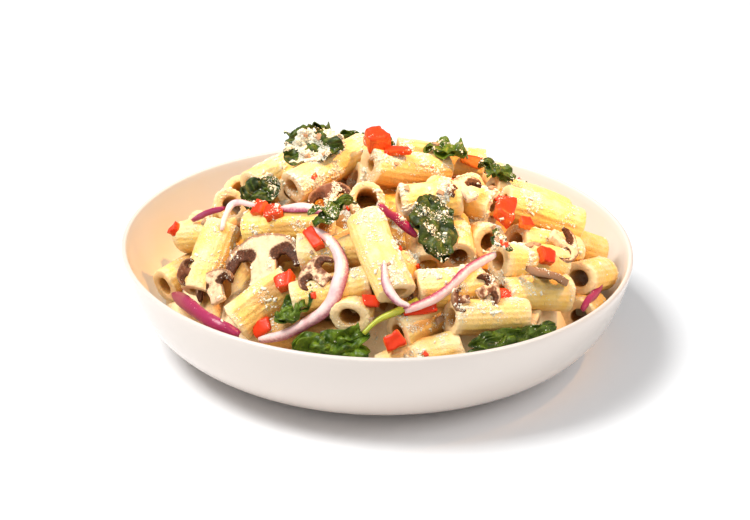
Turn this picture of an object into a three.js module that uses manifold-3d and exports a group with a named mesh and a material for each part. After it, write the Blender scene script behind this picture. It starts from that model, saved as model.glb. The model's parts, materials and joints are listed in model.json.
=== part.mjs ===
// A shallow coupe bowl heaped with rigatoni in cream sauce, with sliced mushrooms, red onion,
// wilted spinach and diced tomato. Millimetres, +Z up, origin on the floor under the bowl's centre;
// the front of the bowl faces -Y.
import * as THREE from "three";
import { mergeVertices } from "three/addons/utils/BufferGeometryUtils.js";
import Module from "manifold-3d";

const wasm = await Module();
wasm.setup();

// Bowl
const RIM_R = 120;
const RIM_H = 48;
const WALL = 4.6;
const LIP = 2.4;
const FOOT_R = 49;
const FOOT_W = 6;
const FOOT_H = 1.5;
const FLOOR_Z = 6.5;
const BELLY_OUT = 42;
const FLANK_IN = 7;
const FLANK_DROP = 43;
const BOWL_SIDES = 36;
const WALL_STEPS = 5;
const CLEARANCE = 0.6;

// Heap
const HEAP_R = 108;
const HEAP_X = 5;
const HEAP_EDGE_Z = 30;
const HEAP_RISE = 68;
const HEAP_POWER = 0.72;
const HEAP_BACK_FALL = 0.3;
const CORE_DROP = 17;
const CORE_LEAST = 5;
const CORE_RINGS = 5;
const CORE_WALL_STEPS = 3;
const CORE_CLEARANCE = 2.5;
const CORE_SIDES = 24;
const OPEN_TOP_Z = 130;

// Rigatoni
const TUBE_R = 8.4;
const HOLE_R = 5.2;
const TUBE_LENGTH = 42;
const TUBE_SIDES = 8;
const SQUASH = 2.5;
const SETTLE_ROUNDS = 60;
const SETTLE_WALL_STEPS = 24;
const HOLD_SEEN = 0.12;
const HOLD_FILL = 0.03;

// Toppings
const GAP = 0.35;
const DICE_PULL = 0.14;
const MUSHROOM_THICK = 3.2;
const MUSHROOM_STEM = 0.34;
const MUSHROOM_STEM_WIDTH = 0.13;
const MUSHROOM_FOOT = 1.1;
const MUSHROOM_CURL = 0.12;
const MUSHROOM_NECK = 0.4;
const MUSHROOM_GILLS = 0.62;
const MUSHROOM_LIP = 0.13;
const MUSHROOM_LIP_R = 0.93;
const MUSHROOM_RISE = 0.74;
const MUSHROOM_ARC = 5;
const MUSHROOM_SHIFT = 0.02;
const STRIP_TIP = 0.45;
const LEAF_THICK = 1.1;
const LEAF_TIP = 0.2;
const LEAF_HEEL = 0.8;
const LEAF_BLUNT = 0.8;
const LEAF_CUP = 0.01;
const LEAF_WAVES = 11;
const LEAF_SLACK = 1.5;
const LEAF_ACROSS = 3;
const LEAF_ALONG = 4;

const radians = THREE.MathUtils.degToRad;
const degrees = THREE.MathUtils.radToDeg;
const clamp = THREE.MathUtils.clamp;

// A repeatable draw between 0 and 1.
function drawer(seed) {
  let state = seed;
  return () => (state = (state * 16807) % 2147483647) / 2147483647;
}

// The bowl's wall as profile points [radius, height]: up the outside and down the inside, thinner
// towards the lip.
function wallProfile(steps) {
  const curve = new THREE.CubicBezierCurve(
    new THREE.Vector2(FOOT_R, FOOT_H),
    new THREE.Vector2(FOOT_R + BELLY_OUT, FOOT_H),
    new THREE.Vector2(RIM_R - FLANK_IN, RIM_H - FLANK_DROP),
    new THREE.Vector2(RIM_R, RIM_H - LIP / 2),
  );
  const outside = [];
  const inside = [];
  for (let i = 0; i <= steps; i++) {
    const point = curve.getPoint(i / steps);
    const along = curve.getTangent(i / steps);
    const thickness = WALL + (LIP - WALL) * (i / steps) ** 3;
    outside.push([point.x, point.y]);
    inside.unshift([point.x - along.y * thickness, point.y + along.x * thickness]);
  }
  return { outside, inside };
}

// The inner wall moved in by a margin measured square to it, from the rim down to the floor.
function innerProfile(steps, margin) {
  const { inside } = wallProfile(steps);
  return inside.map(([r, z], i) => {
    const [ra, za] = inside[Math.max(i - 1, 0)];
    const [rb, zb] = inside[Math.min(i + 1, inside.length - 1)];
    const size = Math.hypot(rb - ra, zb - za);
    return [r + ((zb - za) / size) * margin, z - ((rb - ra) / size) * margin];
  });
}

// The radius that a profile has at a height.
function radiusAt(profile, z) {
  for (let i = 0; i + 1 < profile.length; i++) {
    const [r0, z0] = profile[i];
    const [r1, z1] = profile[i + 1];
    if (z <= z0 && z > z1) return r1 + ((r0 - r1) * (z - z1)) / (z0 - z1);
  }
  return z > RIM_H / 2 ? profile[0][0] : profile.at(-1)[0];
}

const TUBE_WALL = innerProfile(SETTLE_WALL_STEPS, TUBE_R + CLEARANCE);

// The height of the smooth heap that the top layer of food follows.
function heapHeight(x, y) {
  const spread = ((x - HEAP_X) ** 2 + y ** 2) / HEAP_R ** 2;
  const dome = HEAP_EDGE_Z + HEAP_RISE * Math.max(1 - spread, 0) ** HEAP_POWER;
  return dome - HEAP_BACK_FALL * Math.max(y, 0);
}

// Each tube that the eye picks out: one end's x, y, z, then the turn and tilt towards the other
// end in degrees, and the length.
const SEEN_TUBES = [
  [-40, -16, 80, 42, 11, 45],
  [-60, 0, 71, 50, 9, 42],
  [-4, -10, 89, 32, -15, 42],
  [8, 24, 81, 2, -8, 42],
  [-3, -36, 83, 100, -30, 38],
  [9, -37, 83, 13, -3, 28],
  [53, -27, 77, 155, 0, 34],
  [56, -20, 75, 18, -24, 40],
  [52, 4, 72, 20, -24, 42],
  [106, 3, 42, 198, 20, 40],
  [104, -14, 38, 234, 21, 30],
  [90, -51, 38, 63, -8, 22],
  [84, -53, 45, 205, 10, 34],
  [72, -67, 43, 165, 4, 34],
  [64, -75, 47, 205, 1, 36],
  [37, -91, 44, 195, -19, 38],
  [9, -92, 47, 34, 8, 26],
  [-8, -56, 79, -65, -33, 40],
  [-15, -48, 73, -55, -37, 24],
  [-11, -90, 51, 82, 12, 26],
  [-33, -60, 65, -6, 8, 32],
  [9, -61, 68, -86, -32, 26],
  [16, -77, 57, 11, 0, 30],
  [36, -58, 67, 85, 5, 28],
  [49, -44, 71, 120, -20, 34],
  [55, -58, 64, 34, -17, 36],
  [62, -38, 65, 32, -20, 36],
  [-60, -31, 66, -27, 13, 42],
  [-90, 1, 47, -36, 26, 34],
  [-99, -19, 29, 46, 12, 40],
  [-80, -49, 42, 57, 41, 34],
  [-61, -73, 40, 12, 36, 30],
  [-34, -75, 52, -2, 12, 34],
  [-58, -45, 54, 20, 10, 40],
  [-66, -8, 65, 100, -30, 36],
];

// The rest of the heap's tubes fill what those leave bare: a spiral of places, each tube lying
// round the heap's slope as it comes to rest, and deeper at the front, under the ones seen.
const FILL_PLACES = 300;
const FILL_REACH = 0.9;
const FILL_SHORTEST = 0.88;
const FILL_VARIES = 0.2;
const FILL_SEED = 41;
const FILL_SPACE = 16;
const FILL_SWING = 70;
const FILL_FRONT_Y = -25;
const FILL_SINK = 5;
const FILL_BACK_SINK = 2;
const GOLDEN_ANGLE = 2.39996;

function tubeFrom(x, y, z, turn, tilt, length, hold = HOLD_SEEN) {
  const flat = Math.cos(radians(tilt)) * length;
  const end = [
    x + Math.cos(radians(turn)) * flat,
    y + Math.sin(radians(turn)) * flat,
    z + Math.sin(radians(tilt)) * length,
  ];
  return { ends: [[x, y, z], end], home: [[x, y, z], [...end]], length, hold };
}

// How far along a tube's axis, and how far from it in plan, a point lies.
function planPlace(x, y, { ends: [a, b] }) {
  const [dx, dy] = [b[0] - a[0], b[1] - a[1]];
  const along = clamp(((x - a[0]) * dx + (y - a[1]) * dy) / (dx * dx + dy * dy), 0, 1);
  return { along, off: Math.hypot(x - a[0] - along * dx, y - a[1] - along * dy) };
}

function fillTubes(tubes) {
  const draw = drawer(FILL_SEED);
  for (let i = 0; i < FILL_PLACES; i++) {
    const r = HEAP_R * FILL_REACH * Math.sqrt((i + 0.5) / FILL_PLACES);
    const x = HEAP_X + r * Math.cos(i * GOLDEN_ANGLE);
    const y = r * Math.sin(i * GOLDEN_ANGLE);
    const turn = degrees(i * GOLDEN_ANGLE) + 90 + FILL_SWING * (draw() - 0.5);
    const half = (TUBE_LENGTH * (FILL_SHORTEST + FILL_VARIES * draw())) / 2;
    if (tubes.some((t) => planPlace(x, y, t).off < FILL_SPACE)) continue;
    const [dx, dy] = [Math.cos(radians(turn)), Math.sin(radians(turn))];
    const rise = heapHeight(x + dx, y + dy) - heapHeight(x - dx, y - dy);
    const tilt = degrees(Math.atan2(rise, 2));
    const flat = Math.cos(radians(tilt)) * half;
    const sink = TUBE_R + (y < FILL_FRONT_Y ? FILL_SINK : FILL_BACK_SINK);
    const z = heapHeight(x, y) - sink - Math.sin(radians(tilt)) * half;
    tubes.push(tubeFrom(x - dx * flat, y - dy * flat, z, turn, tilt, half * 2, HOLD_FILL));
  }
  return tubes;
}

// The nearest points of two segments: the share along each, and the step between them.
function nearest([a, b], [c, d]) {
  const dot = (p, q) => p[0] * q[0] + p[1] * q[1] + p[2] * q[2];
  const u = a.map((value, k) => b[k] - value);
  const v = c.map((value, k) => d[k] - value);
  const w = a.map((value, k) => value - c[k]);
  const [uu, uv, vv, uw, vw] = [dot(u, u), dot(u, v), dot(v, v), dot(u, w), dot(v, w)];
  const cross = uu * vv - uv * uv;
  let s = cross > 1e-6 ? clamp((uv * vw - vv * uw) / cross, 0, 1) : 0.5;
  const t = clamp((uv * s + vw) / vv, 0, 1);
  s = clamp((uv * t - uw) / uu, 0, 1);
  const between = w.map((value, k) => value + s * u[k] - t * v[k]);
  return { s, t, between, apart: Math.hypot(...between) };
}

// Moves a segment so that its point at a share along it shifts by a step.
function shift(ends, share, step) {
  const weight = (1 - share) ** 2 + share ** 2;
  for (let k = 0; k < 3; k++) {
    ends[0][k] += (step[k] * (1 - share)) / weight;
    ends[1][k] += (step[k] * share) / weight;
  }
}

function keepInBowl(end) {
  const most = radiusAt(TUBE_WALL, end[2]);
  const r = Math.hypot(end[0], end[1]);
  if (r > most) {
    end[0] *= most / r;
    end[1] *= most / r;
  }
}

function keepLength({ ends: [a, b], length }) {
  const now = Math.hypot(b[0] - a[0], b[1] - a[1], b[2] - a[2]);
  for (let k = 0; k < 3; k++) {
    const middle = (a[k] + b[k]) / 2;
    const half = ((b[k] - a[k]) / 2) * (length / now);
    a[k] = middle - half;
    b[k] = middle + half;
  }
}

// Pushes tubes that lie in each other apart, holds each near its place and inside the bowl.
function settle(tubes) {
  const reach = 2 * TUBE_R - SQUASH;
  for (let round = 0; round < SETTLE_ROUNDS; round++) {
    for (let i = 0; i < tubes.length; i++) {
      for (let j = i + 1; j < tubes.length; j++) {
        const met = nearest(tubes[i].ends, tubes[j].ends);
        if (met.apart >= reach || met.apart < 1e-6) continue;
        const push = (reach - met.apart) / met.apart;
        const share = tubes[i].hold / (tubes[i].hold + tubes[j].hold);
        shift(tubes[i].ends, met.s, met.between.map((v) => v * push * (1 - share)));
        shift(tubes[j].ends, met.t, met.between.map((v) => -v * push * share));
      }
    }
    for (const t of tubes) {
      t.ends.forEach((end, n) => {
        for (let k = 0; k < 3; k++) end[k] += (t.home[n][k] - end[k]) * t.hold;
        keepInBowl(end);
      });
      keepLength(t);
    }
  }
  return tubes;
}

const TUBES = settle(fillTubes(SEEN_TUBES.map((row) => tubeFrom(...row))));

// Solids

function solidOf(geometry) {
  const bare = geometry.clone();
  bare.deleteAttribute("normal");
  bare.deleteAttribute("uv");
  const merged = mergeVertices(bare, 1e-4);
  return new wasm.Manifold(
    new wasm.Mesh({
      numProp: 3,
      vertProperties: new Float32Array(merged.getAttribute("position").array),
      triVerts: new Uint32Array(merged.index.array),
    }),
  );
}

function geometryOf(solid) {
  const mesh = solid.getMesh();
  const geometry = new THREE.BufferGeometry();
  geometry.setAttribute("position", new THREE.BufferAttribute(mesh.vertProperties, 3));
  geometry.setIndex(new THREE.BufferAttribute(mesh.triVerts, 1));
  return geometry;
}

function largestBody(solid) {
  return solid.decompose().reduce((best, part) => (part.volume() > best.volume() ? part : best));
}

function turned(profile, sides) {
  const points = profile.map(([r, z]) => new THREE.Vector2(r, z));
  return new THREE.LatheGeometry(points, sides).rotateX(Math.PI / 2);
}

function bowl() {
  const { outside, inside } = wallProfile(WALL_STEPS);
  const profile = [
    [0, FOOT_H],
    [FOOT_R - FOOT_W, FOOT_H],
    [FOOT_R - FOOT_W, 0],
    [FOOT_R - 1, 0],
    ...outside,
    [RIM_R - LIP / 2, RIM_H],
    ...inside,
    [0, FLOOR_Z],
  ];
  return solidOf(turned(profile, BOWL_SIDES));
}

// The space that food may fill: inside the bowl, and straight up from its lip.
function foodSpace(steps, sides, margin) {
  const wall = innerProfile(steps, margin).reverse();
  const lip = wall.at(-1)[0];
  const profile = [[0, FLOOR_Z + margin], ...wall, [lip, OPEN_TOP_Z], [0, OPEN_TOP_Z]];
  return solidOf(turned(profile, sides));
}

// The packed food under the top layer, up to a tube's width below the heap's surface.
function heapCore() {
  const shares = [...Array(CORE_RINGS + 1).keys()].map((i) => i / CORE_RINGS);
  const top = shares.map((share) => [RIM_R * share, RIM_H]).reverse();
  const geometry = turned([[0, 0], [RIM_R, 0], ...top], CORE_SIDES);
  const position = geometry.getAttribute("position");
  for (let i = 0; i < position.count; i++) {
    if (position.getZ(i) < 1) continue;
    const [x, y] = [position.getX(i), position.getY(i)];
    position.setZ(i, Math.max(heapHeight(x, y) - CORE_DROP, FLOOR_Z + CORE_LEAST));
  }
  return solidOf(geometry).intersect(foodSpace(CORE_WALL_STEPS, CORE_SIDES, CORE_CLEARANCE));
}

function tubeSolid({ ends, length }) {
  const half = length / 2;
  const ring = [[HOLE_R, -half], [TUBE_R, -half], [TUBE_R, half], [HOLE_R, half], [HOLE_R, -half]];
  const [a, b] = ends.map((end) => new THREE.Vector3(...end));
  const along = b.clone().sub(a).normalize();
  const turn = new THREE.Quaternion().setFromUnitVectors(new THREE.Vector3(0, 0, 1), along);
  const geometry = turned(ring, TUBE_SIDES).applyQuaternion(turn);
  return solidOf(geometry.translate(...a.lerp(b, 0.5)));
}

// Toppings

// Dice of tomato: x, y, z, spin, lean, length, width, thickness.
const TOMATO = [
  [-3, -3, 100, 25, 10, 10, 11, 11],
  [8, -6, 95.5, 10, 0, 12, 5, 3],
  [43, 18, 81.5, 5, 0, 10, 6, 5],
  [57, -34, 80, 80, 0, 15, 8, 6],
  [66, -37, 75, 20, 0, 6, 5, 4],
  [-53, -35, 77, 60, 0, 7, 6, 6],
  [-46, -41, 78, 0, 0, 8, 7, 7],
  [-95, -4, 52, 20, 0, 6, 4, 4],
  [-28, -64, 77, -60, 0, 12, 5, 4],
  [-49, -79, 40, 20, 0, 9, 7, 5],
  [-40, -73, 60, 10, 0, 8, 7, 6],
  [8, -101, 47, 30, 0, 9, 8, 6],
  [75, -53, 66, 10, 0, 8, 7, 5],
  [-2, -88, 59, 0, 0, 7, 5, 4],
  [55, -75, 57, 0, 0, 7, 5, 4],
  [19, -89, 56, 12, 0, 15, 4, 3],
  [-30, 62, 60, 30, 0, 9, 8, 7],
  [30, 60, 57, -40, 0, 10, 7, 6],
];

// Slices of mushroom: x, y, z, spin, lean, cap width.
const MUSHROOM = [
  [-50, -57, 61, -5, 12, 38],
  [-74, -54, 48, 10, 15, 22],
  [-85, -47, 50, 70, 50, 13],
  [-26, -79, 67, 50, 0, 19],
  [38, -36, 90, 40, 0, 19],
  [84, -38, 64, -105, 0, 22],
  [75, -62, 61, 180, 59, 22],
  [48, -82, 63, -60, 0, 15],
  [36, -91, 62, 100, 0, 11],
  [-22, -24, 79, 8, 30, 20],
  [-42, 60, 59, 140, 0, 26],
  [48, 46, 65, 200, 0, 24],
];

// Strips of red onion: width, thickness, then the points along its middle.
const ONION = [
  [5.5, 3, [[-29, -59, 79], [-22, -65, 78], [-17, -71, 74], [-15, -79, 69], [-17, -85, 62],
    [-22, -88, 54], [-31, -88, 47], [-40, -87, 41], [-50, -82, 36]]],
  [6.5, 3, [[-93, -30, 31], [-84, -56, 39], [-71, -77, 41], [-59, -82, 38]]],
  [3, 2.5, [[-86, -7, 58], [-78, -15, 66], [-70, -21, 71]]],
  [3, 2.5, [[-70, -37, 67], [-68, -25, 72], [-64, -23, 75], [-55, -35, 79]]],
  [5, 3, [[0, -64, 90], [8, -54, 83], [17, -55, 75]]],
  [4, 3, [[51, -65, 72], [41, -75, 70], [32, -84, 65], [24, -89, 61], [12, -98, 60]]],
  [3.5, 2.5, [[3, -88, 78], [4, -95, 71], [9, -99, 65], [14, -99, 63]]],
  [4, 2.5, [[103, -29, 44], [99, -41, 42], [92, -56, 41]]],
  [5, 2, [[-43, -42, 81], [-33, -47, 84], [-24, -53, 85]]],
  [4, 2.5, [[-52, 42, 64], [-40, 50, 65], [-24, 58, 61], [-6, 62, 62]]],
  [4, 2.5, [[66, 12, 72], [66, 28, 64], [58, 44, 62]]],
];

// Leaves of spinach: x, y, z, spin, lean, length, width, ruffle.
const SPINACH = [
  [-32, -2, 96, 8, 45, 32, 18, 2],
  [-54, -12, 77, -5, 40, 20, 15, 1.5],
  [31, 12, 88.5, -38, 25, 22, 15, 2],
  [55, 5, 81.5, -10, 20, 18, 9, 2],
  [25, -56, 79, -75, 8, 34, 22, 2],
  [-20, -60, 89, 42, 0, 22, 8, 2],
  [-18, -92, 42, 0, 10, 38, 17, 2],
  [60, -89, 43, 20, 0, 48, 11, 2],
  [-35, -85, 53, 30, 0, 20, 10, 2],
  [54, -64, 77, -20, 0, 12, 5, 1],
  [-8, 46, 77, 20, 0, 30, 20, 2],
  [74, 30, 58, 120, 0, 26, 18, 2],
  [-34, 33, 87, 60, 0, 26, 16, 2],
];

// A leaf's stem that shows: points along its middle.
const STEM = [[18, -88, 60], [10, -92, 57], [1, -94, 53]];
const STEM_SIZE = 2.6;

// The upward direction of the heap's slope at a place.
function slopeNormal(x, y) {
  const dx = heapHeight(x + 1, y) - heapHeight(x - 1, y);
  const dy = heapHeight(x, y + 1) - heapHeight(x, y - 1);
  return new THREE.Vector3(-dx / 2, -dy / 2, 1).normalize();
}

// The frame of a piece that lies on the slope: spun about the slope's normal, then leant over.
function slopeFrame([x, y, z], spin, lean = 0) {
  const up = slopeNormal(x, y);
  const east = new THREE.Vector3(1, 0, 0).addScaledVector(up, -up.x).normalize();
  const frame = new THREE.Matrix4().makeBasis(east, up.clone().cross(east), up);
  frame.setPosition(x, y, z);
  frame.multiply(new THREE.Matrix4().makeRotationZ(radians(spin)));
  return frame.multiply(new THREE.Matrix4().makeRotationX(radians(lean)));
}

// A box whose corners and edges are pulled in, as a soft dice has.
function dice([x, y, z, spin, lean, ...size], grow = 0) {
  const geometry = new THREE.BoxGeometry(1, 1, 1, 2, 2, 1);
  const position = geometry.getAttribute("position");
  for (let i = 0; i < position.count; i++) {
    const at = [position.getX(i), position.getY(i), position.getZ(i)];
    const sharp = at.filter((value) => value !== 0).length;
    const pull = 1 - DICE_PULL * (sharp - 1);
    const [px, py, pz] = at.map((value, k) => value * (size[k] * pull + 2 * grow));
    position.setXYZ(i, px, py, pz);
  }
  return geometry.applyMatrix4(slopeFrame([x, y, z], spin, lean));
}

// The outline of a mushroom cut lengthwise: the foot, the stem, the gills, the curled lip, the cap.
function mushroomOutline(width, grow) {
  const half = width / 2 + grow;
  const stem = MUSHROOM_STEM_WIDTH * width + grow;
  const gills = MUSHROOM_CURL * width - grow;
  const right = [
    [stem * MUSHROOM_FOOT, -MUSHROOM_STEM * width - grow],
    [stem, gills * MUSHROOM_NECK],
    [half * MUSHROOM_GILLS, gills],
    [half * MUSHROOM_LIP_R, gills - MUSHROOM_LIP * width],
  ];
  const cap = [...Array(MUSHROOM_ARC + 1).keys()].map((i) => {
    const angle = (Math.PI * i) / MUSHROOM_ARC;
    return [half * Math.cos(angle), (MUSHROOM_RISE * (width / 2) + grow) * Math.sin(angle)];
  });
  const left = right.map(([x, y]) => [-x, y]).reverse();
  return new THREE.Shape([...right, ...cap, ...left].map(([x, y]) => new THREE.Vector2(x, y)));
}

function slice([x, y, z, spin, lean, width], grow = 0) {
  const depth = MUSHROOM_THICK + 2 * grow;
  const outline = mushroomOutline(width, grow);
  const geometry = new THREE.ExtrudeGeometry(outline, { depth, bevelEnabled: false });
  geometry.translate(0, -MUSHROOM_SHIFT * width, -depth / 2);
  return geometry.applyMatrix4(slopeFrame([x, y, z], spin, lean));
}

// How far the two ends of a piece that is made larger move out along it.
function pastEnd(along, grow) {
  if (along > 0 && along < 1) return 0;
  return along === 0 ? -grow : grow;
}

// A strip swept along its points, flat to the slope and narrower at its ends.
function strip([width, thickness, points], grow = 0) {
  const curve = new THREE.CatmullRomCurve3(points.map((p) => new THREE.Vector3(...p)));
  const steps = 2 * (points.length - 1);
  const geometry = new THREE.BoxGeometry(1, 1, 1, 1, steps, 1);
  const position = geometry.getAttribute("position");
  for (let i = 0; i < position.count; i++) {
    const along = clamp(position.getY(i) + 0.5, 0, 1);
    const point = curve.getPoint(along);
    const ahead = curve.getTangent(along);
    const side = ahead.clone().cross(slopeNormal(point.x, point.y)).normalize();
    const up = side.clone().cross(ahead);
    const taper = STRIP_TIP + (1 - STRIP_TIP) * Math.sqrt(Math.abs(Math.sin(Math.PI * along)));
    point.addScaledVector(side, position.getX(i) * (width * taper + 2 * grow));
    point.addScaledVector(up, position.getZ(i) * (thickness * taper + 2 * grow));
    point.addScaledVector(ahead, pastEnd(along, grow));
    position.setXYZ(i, ...point);
  }
  return geometry;
}

// A plane bent by a function of its two shares and given a second face, both split alike.
function sheet(across, along, place, thickness) {
  const plane = new THREE.PlaneGeometry(1, 1, across, along);
  const grid = plane.getAttribute("position");
  const faces = [...plane.index.array];
  const count = grid.count;
  const points = [];
  for (const side of [0.5, -0.5]) {
    for (let i = 0; i < count; i++) {
      points.push(...place(grid.getX(i) + 0.5, grid.getY(i) + 0.5, side * thickness));
    }
  }
  const index = [...faces];
  for (let i = 0; i < faces.length; i += 3) {
    index.push(faces[i] + count, faces[i + 2] + count, faces[i + 1] + count);
  }
  const rim = [];
  for (let i = 0; i < across; i++) rim.push(i);
  for (let j = 0; j < along; j++) rim.push(across + j * (across + 1));
  for (let i = across; i > 0; i--) rim.push(along * (across + 1) + i);
  for (let j = along; j > 0; j--) rim.push(j * (across + 1));
  rim.forEach((a, i) => {
    const b = rim[(i + 1) % rim.length];
    index.push(a, b, b + count, a, b + count, a + count);
  });
  const geometry = new THREE.BufferGeometry();
  geometry.setAttribute("position", new THREE.BufferAttribute(new Float32Array(points), 3));
  return geometry.setIndex(index);
}

function leaf([x, y, z, spin, lean, length, width, ruffle], grow = 0) {
  const frame = slopeFrame([x, y, z], spin, lean);
  const place = (u, v, side) => {
    const belly = Math.abs(Math.sin(Math.PI * v ** LEAF_HEEL)) ** LEAF_BLUNT;
    const half = (width / 2) * (LEAF_TIP + (1 - LEAF_TIP) * belly);
    const px = (v - 0.5) * length + pastEnd(v, grow);
    const py = (1 - 2 * u) * half - pastEnd(u, grow);
    const bend = -LEAF_CUP * (px ** 2 + py ** 2);
    const wave = ruffle * belly * Math.sin(LEAF_WAVES * v + 2 * u) * Math.abs(2 * u - 1);
    return new THREE.Vector3(px, py, bend + wave + side).applyMatrix4(frame);
  };
  return sheet(LEAF_ACROSS, LEAF_ALONG, place, LEAF_THICK + 2 * LEAF_SLACK * grow);
}

const group = new THREE.Group();

function addPiece(name, solid, color, roughness) {
  const material = new THREE.MeshStandardMaterial({ color, roughness, metalness: 0 });
  const mesh = new THREE.Mesh(geometryOf(solid), material);
  mesh.name = name;
  group.add(mesh);
}

const KINDS = [
  ["onion", ONION, strip, "#b03a68", 0.4],
  ["spinach_stem", [[STEM_SIZE, STEM_SIZE, STEM]], strip, "#c3cc2f", 0.45],
  ["mushroom", MUSHROOM, slice, "#c79f7c", 0.6],
  ["tomato", TOMATO, dice, "#e03a1a", 0.35],
  ["spinach", SPINACH, leaf, "#3f5212", 0.5],
];

addPiece("bowl", bowl(), "#f4efe8", 0.25);

let heap = heapCore();
for (const t of TUBES) heap = heap.add(tubeSolid(t));
const space = foodSpace(WALL_STEPS, BOWL_SIDES, CLEARANCE);
const laid = [];
for (const [kind, rows, make, color, roughness] of KINDS) {
  rows.forEach((row, i) => {
    let piece = solidOf(make(row)).intersect(space);
    for (const other of laid) piece = piece.subtract(other);
    addPiece(`${kind}_${i + 1}`, largestBody(piece), color, roughness);
    laid.push(solidOf(make(row, GAP)));
  });
}
heap = heap.intersect(space);
for (const cut of laid) heap = heap.subtract(cut);
addPiece("pasta_heap", largestBody(heap), "#f2dca0", 0.5);

export default group;
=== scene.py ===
"""A low white bowl heaped with rigatoni in cream sauce, vegetables and grated cheese.

The script works in metres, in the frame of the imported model: the bowl stands on Z = 0 with its
axis on Z, and the side in view faces -Y. The rows of places are in millimetres, and MM scales them.
"""

import json
import math
import random

import bmesh
import bpy
from bpy.props import FloatProperty, FloatVectorProperty, IntProperty, PointerProperty
from mathutils import Matrix, Vector, noise
from mathutils.bvhtree import BVHTree
from mathutils.geometry import interpolate_bezier

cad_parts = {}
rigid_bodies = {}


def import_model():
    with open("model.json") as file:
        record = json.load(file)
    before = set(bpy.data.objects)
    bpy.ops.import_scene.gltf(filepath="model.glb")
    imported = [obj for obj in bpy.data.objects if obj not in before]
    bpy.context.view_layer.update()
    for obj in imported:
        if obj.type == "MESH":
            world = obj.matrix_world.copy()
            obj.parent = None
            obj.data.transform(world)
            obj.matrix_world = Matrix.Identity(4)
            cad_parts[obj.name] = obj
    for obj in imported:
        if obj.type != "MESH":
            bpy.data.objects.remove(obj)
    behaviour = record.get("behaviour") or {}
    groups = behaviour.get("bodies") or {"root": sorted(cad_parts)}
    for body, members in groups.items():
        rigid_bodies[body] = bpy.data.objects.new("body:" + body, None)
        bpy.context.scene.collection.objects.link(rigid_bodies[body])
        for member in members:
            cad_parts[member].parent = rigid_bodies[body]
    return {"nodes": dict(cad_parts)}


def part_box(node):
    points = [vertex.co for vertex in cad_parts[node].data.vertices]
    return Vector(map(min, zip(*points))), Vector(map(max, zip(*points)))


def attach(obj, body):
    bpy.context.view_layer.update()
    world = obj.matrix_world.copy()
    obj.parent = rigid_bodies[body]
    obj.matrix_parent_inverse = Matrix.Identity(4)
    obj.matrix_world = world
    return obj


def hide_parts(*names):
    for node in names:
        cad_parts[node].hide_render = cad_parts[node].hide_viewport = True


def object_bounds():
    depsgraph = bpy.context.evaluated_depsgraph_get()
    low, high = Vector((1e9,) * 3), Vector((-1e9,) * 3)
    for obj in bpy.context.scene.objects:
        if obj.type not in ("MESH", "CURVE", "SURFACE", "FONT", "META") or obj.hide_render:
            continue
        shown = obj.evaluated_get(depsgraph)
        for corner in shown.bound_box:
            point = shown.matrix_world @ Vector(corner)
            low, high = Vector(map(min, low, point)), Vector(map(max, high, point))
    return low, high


bl_info = {
    "name": "Bowl of rigatoni",
    "version": (1, 0, 0),
    "blender": (4, 5, 0),
    "location": "3D View > Sidebar > Bowl",
    "description": "Builds a bowl of rigatoni in cream sauce over its packed model",
    "category": "Add Mesh",
}

MM = 0.001
BODY = "root"

# Under this, two points or two directions count as one.
TINY = 1e-6

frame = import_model()
cad_low, cad_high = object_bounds()
bowl_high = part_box("bowl")[1]

# Without a seed, noise_vector takes its offsets from the clock.
NOISE_SEED = 7
noise.seed_set(NOISE_SEED)


# Sizes and colours


def length(name, description, default):
    """A size in metres."""
    return FloatProperty(name=name, description=description, default=default, unit="LENGTH")


def share(name, description, default):
    """A number between 0 and 1."""
    return FloatProperty(name=name, description=description, default=default, subtype="FACTOR")


def colour(name, description, default):
    """A linear colour."""
    return FloatVectorProperty(
        name=name, description=description, default=default, size=3, subtype="COLOR"
    )


def degrees(name, description, default):
    """An angle, given in degrees."""
    default = math.radians(default)
    return FloatProperty(name=name, description=description, default=default, subtype="ANGLE")


def watts(name, description, default):
    """The power of a lamp."""
    return FloatProperty(name=name, description=description, default=default, subtype="POWER")


class BowlSettings(bpy.types.PropertyGroup):
    """The bowl's sizes and glaze."""

    rim_radius: length("Rim radius", "Outer radius at the lip", bowl_high.x)
    rim_height: length("Rim height", "Height of the lip above the floor", bowl_high.z)
    wall: length("Wall", "Thickness of the wall above the foot", 4.6 * MM)
    lip: length("Lip", "Thickness of the wall at the lip", 2.4 * MM)
    foot_radius: length("Foot radius", "Outer radius of the foot ring", 49 * MM)
    foot_width: length("Foot width", "Width of the foot ring", 6 * MM)
    foot_height: length("Foot height", "Height of the foot ring", 1.5 * MM)
    floor_height: length("Inner floor", "Height of the floor inside the bowl", 6.5 * MM)
    glaze: colour("Glaze", "Colour of the glaze outside", (0.7, 0.632, 0.58))
    # Painted light: the same glaze is painted paler inside the bowl than outside.
    glaze_inside_lit: colour("Glaze inside", "Colour of the glaze inside", (0.8, 0.75, 0.69))
    # Painted shade: the glaze darkens towards the foot.
    glaze_low_shade: colour("Glaze low", "Colour of the glaze near the foot", (0.6, 0.49, 0.42))
    foot_clay: colour("Foot", "Colour of the bare clay under the foot ring", (0.62, 0.53, 0.43))


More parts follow.
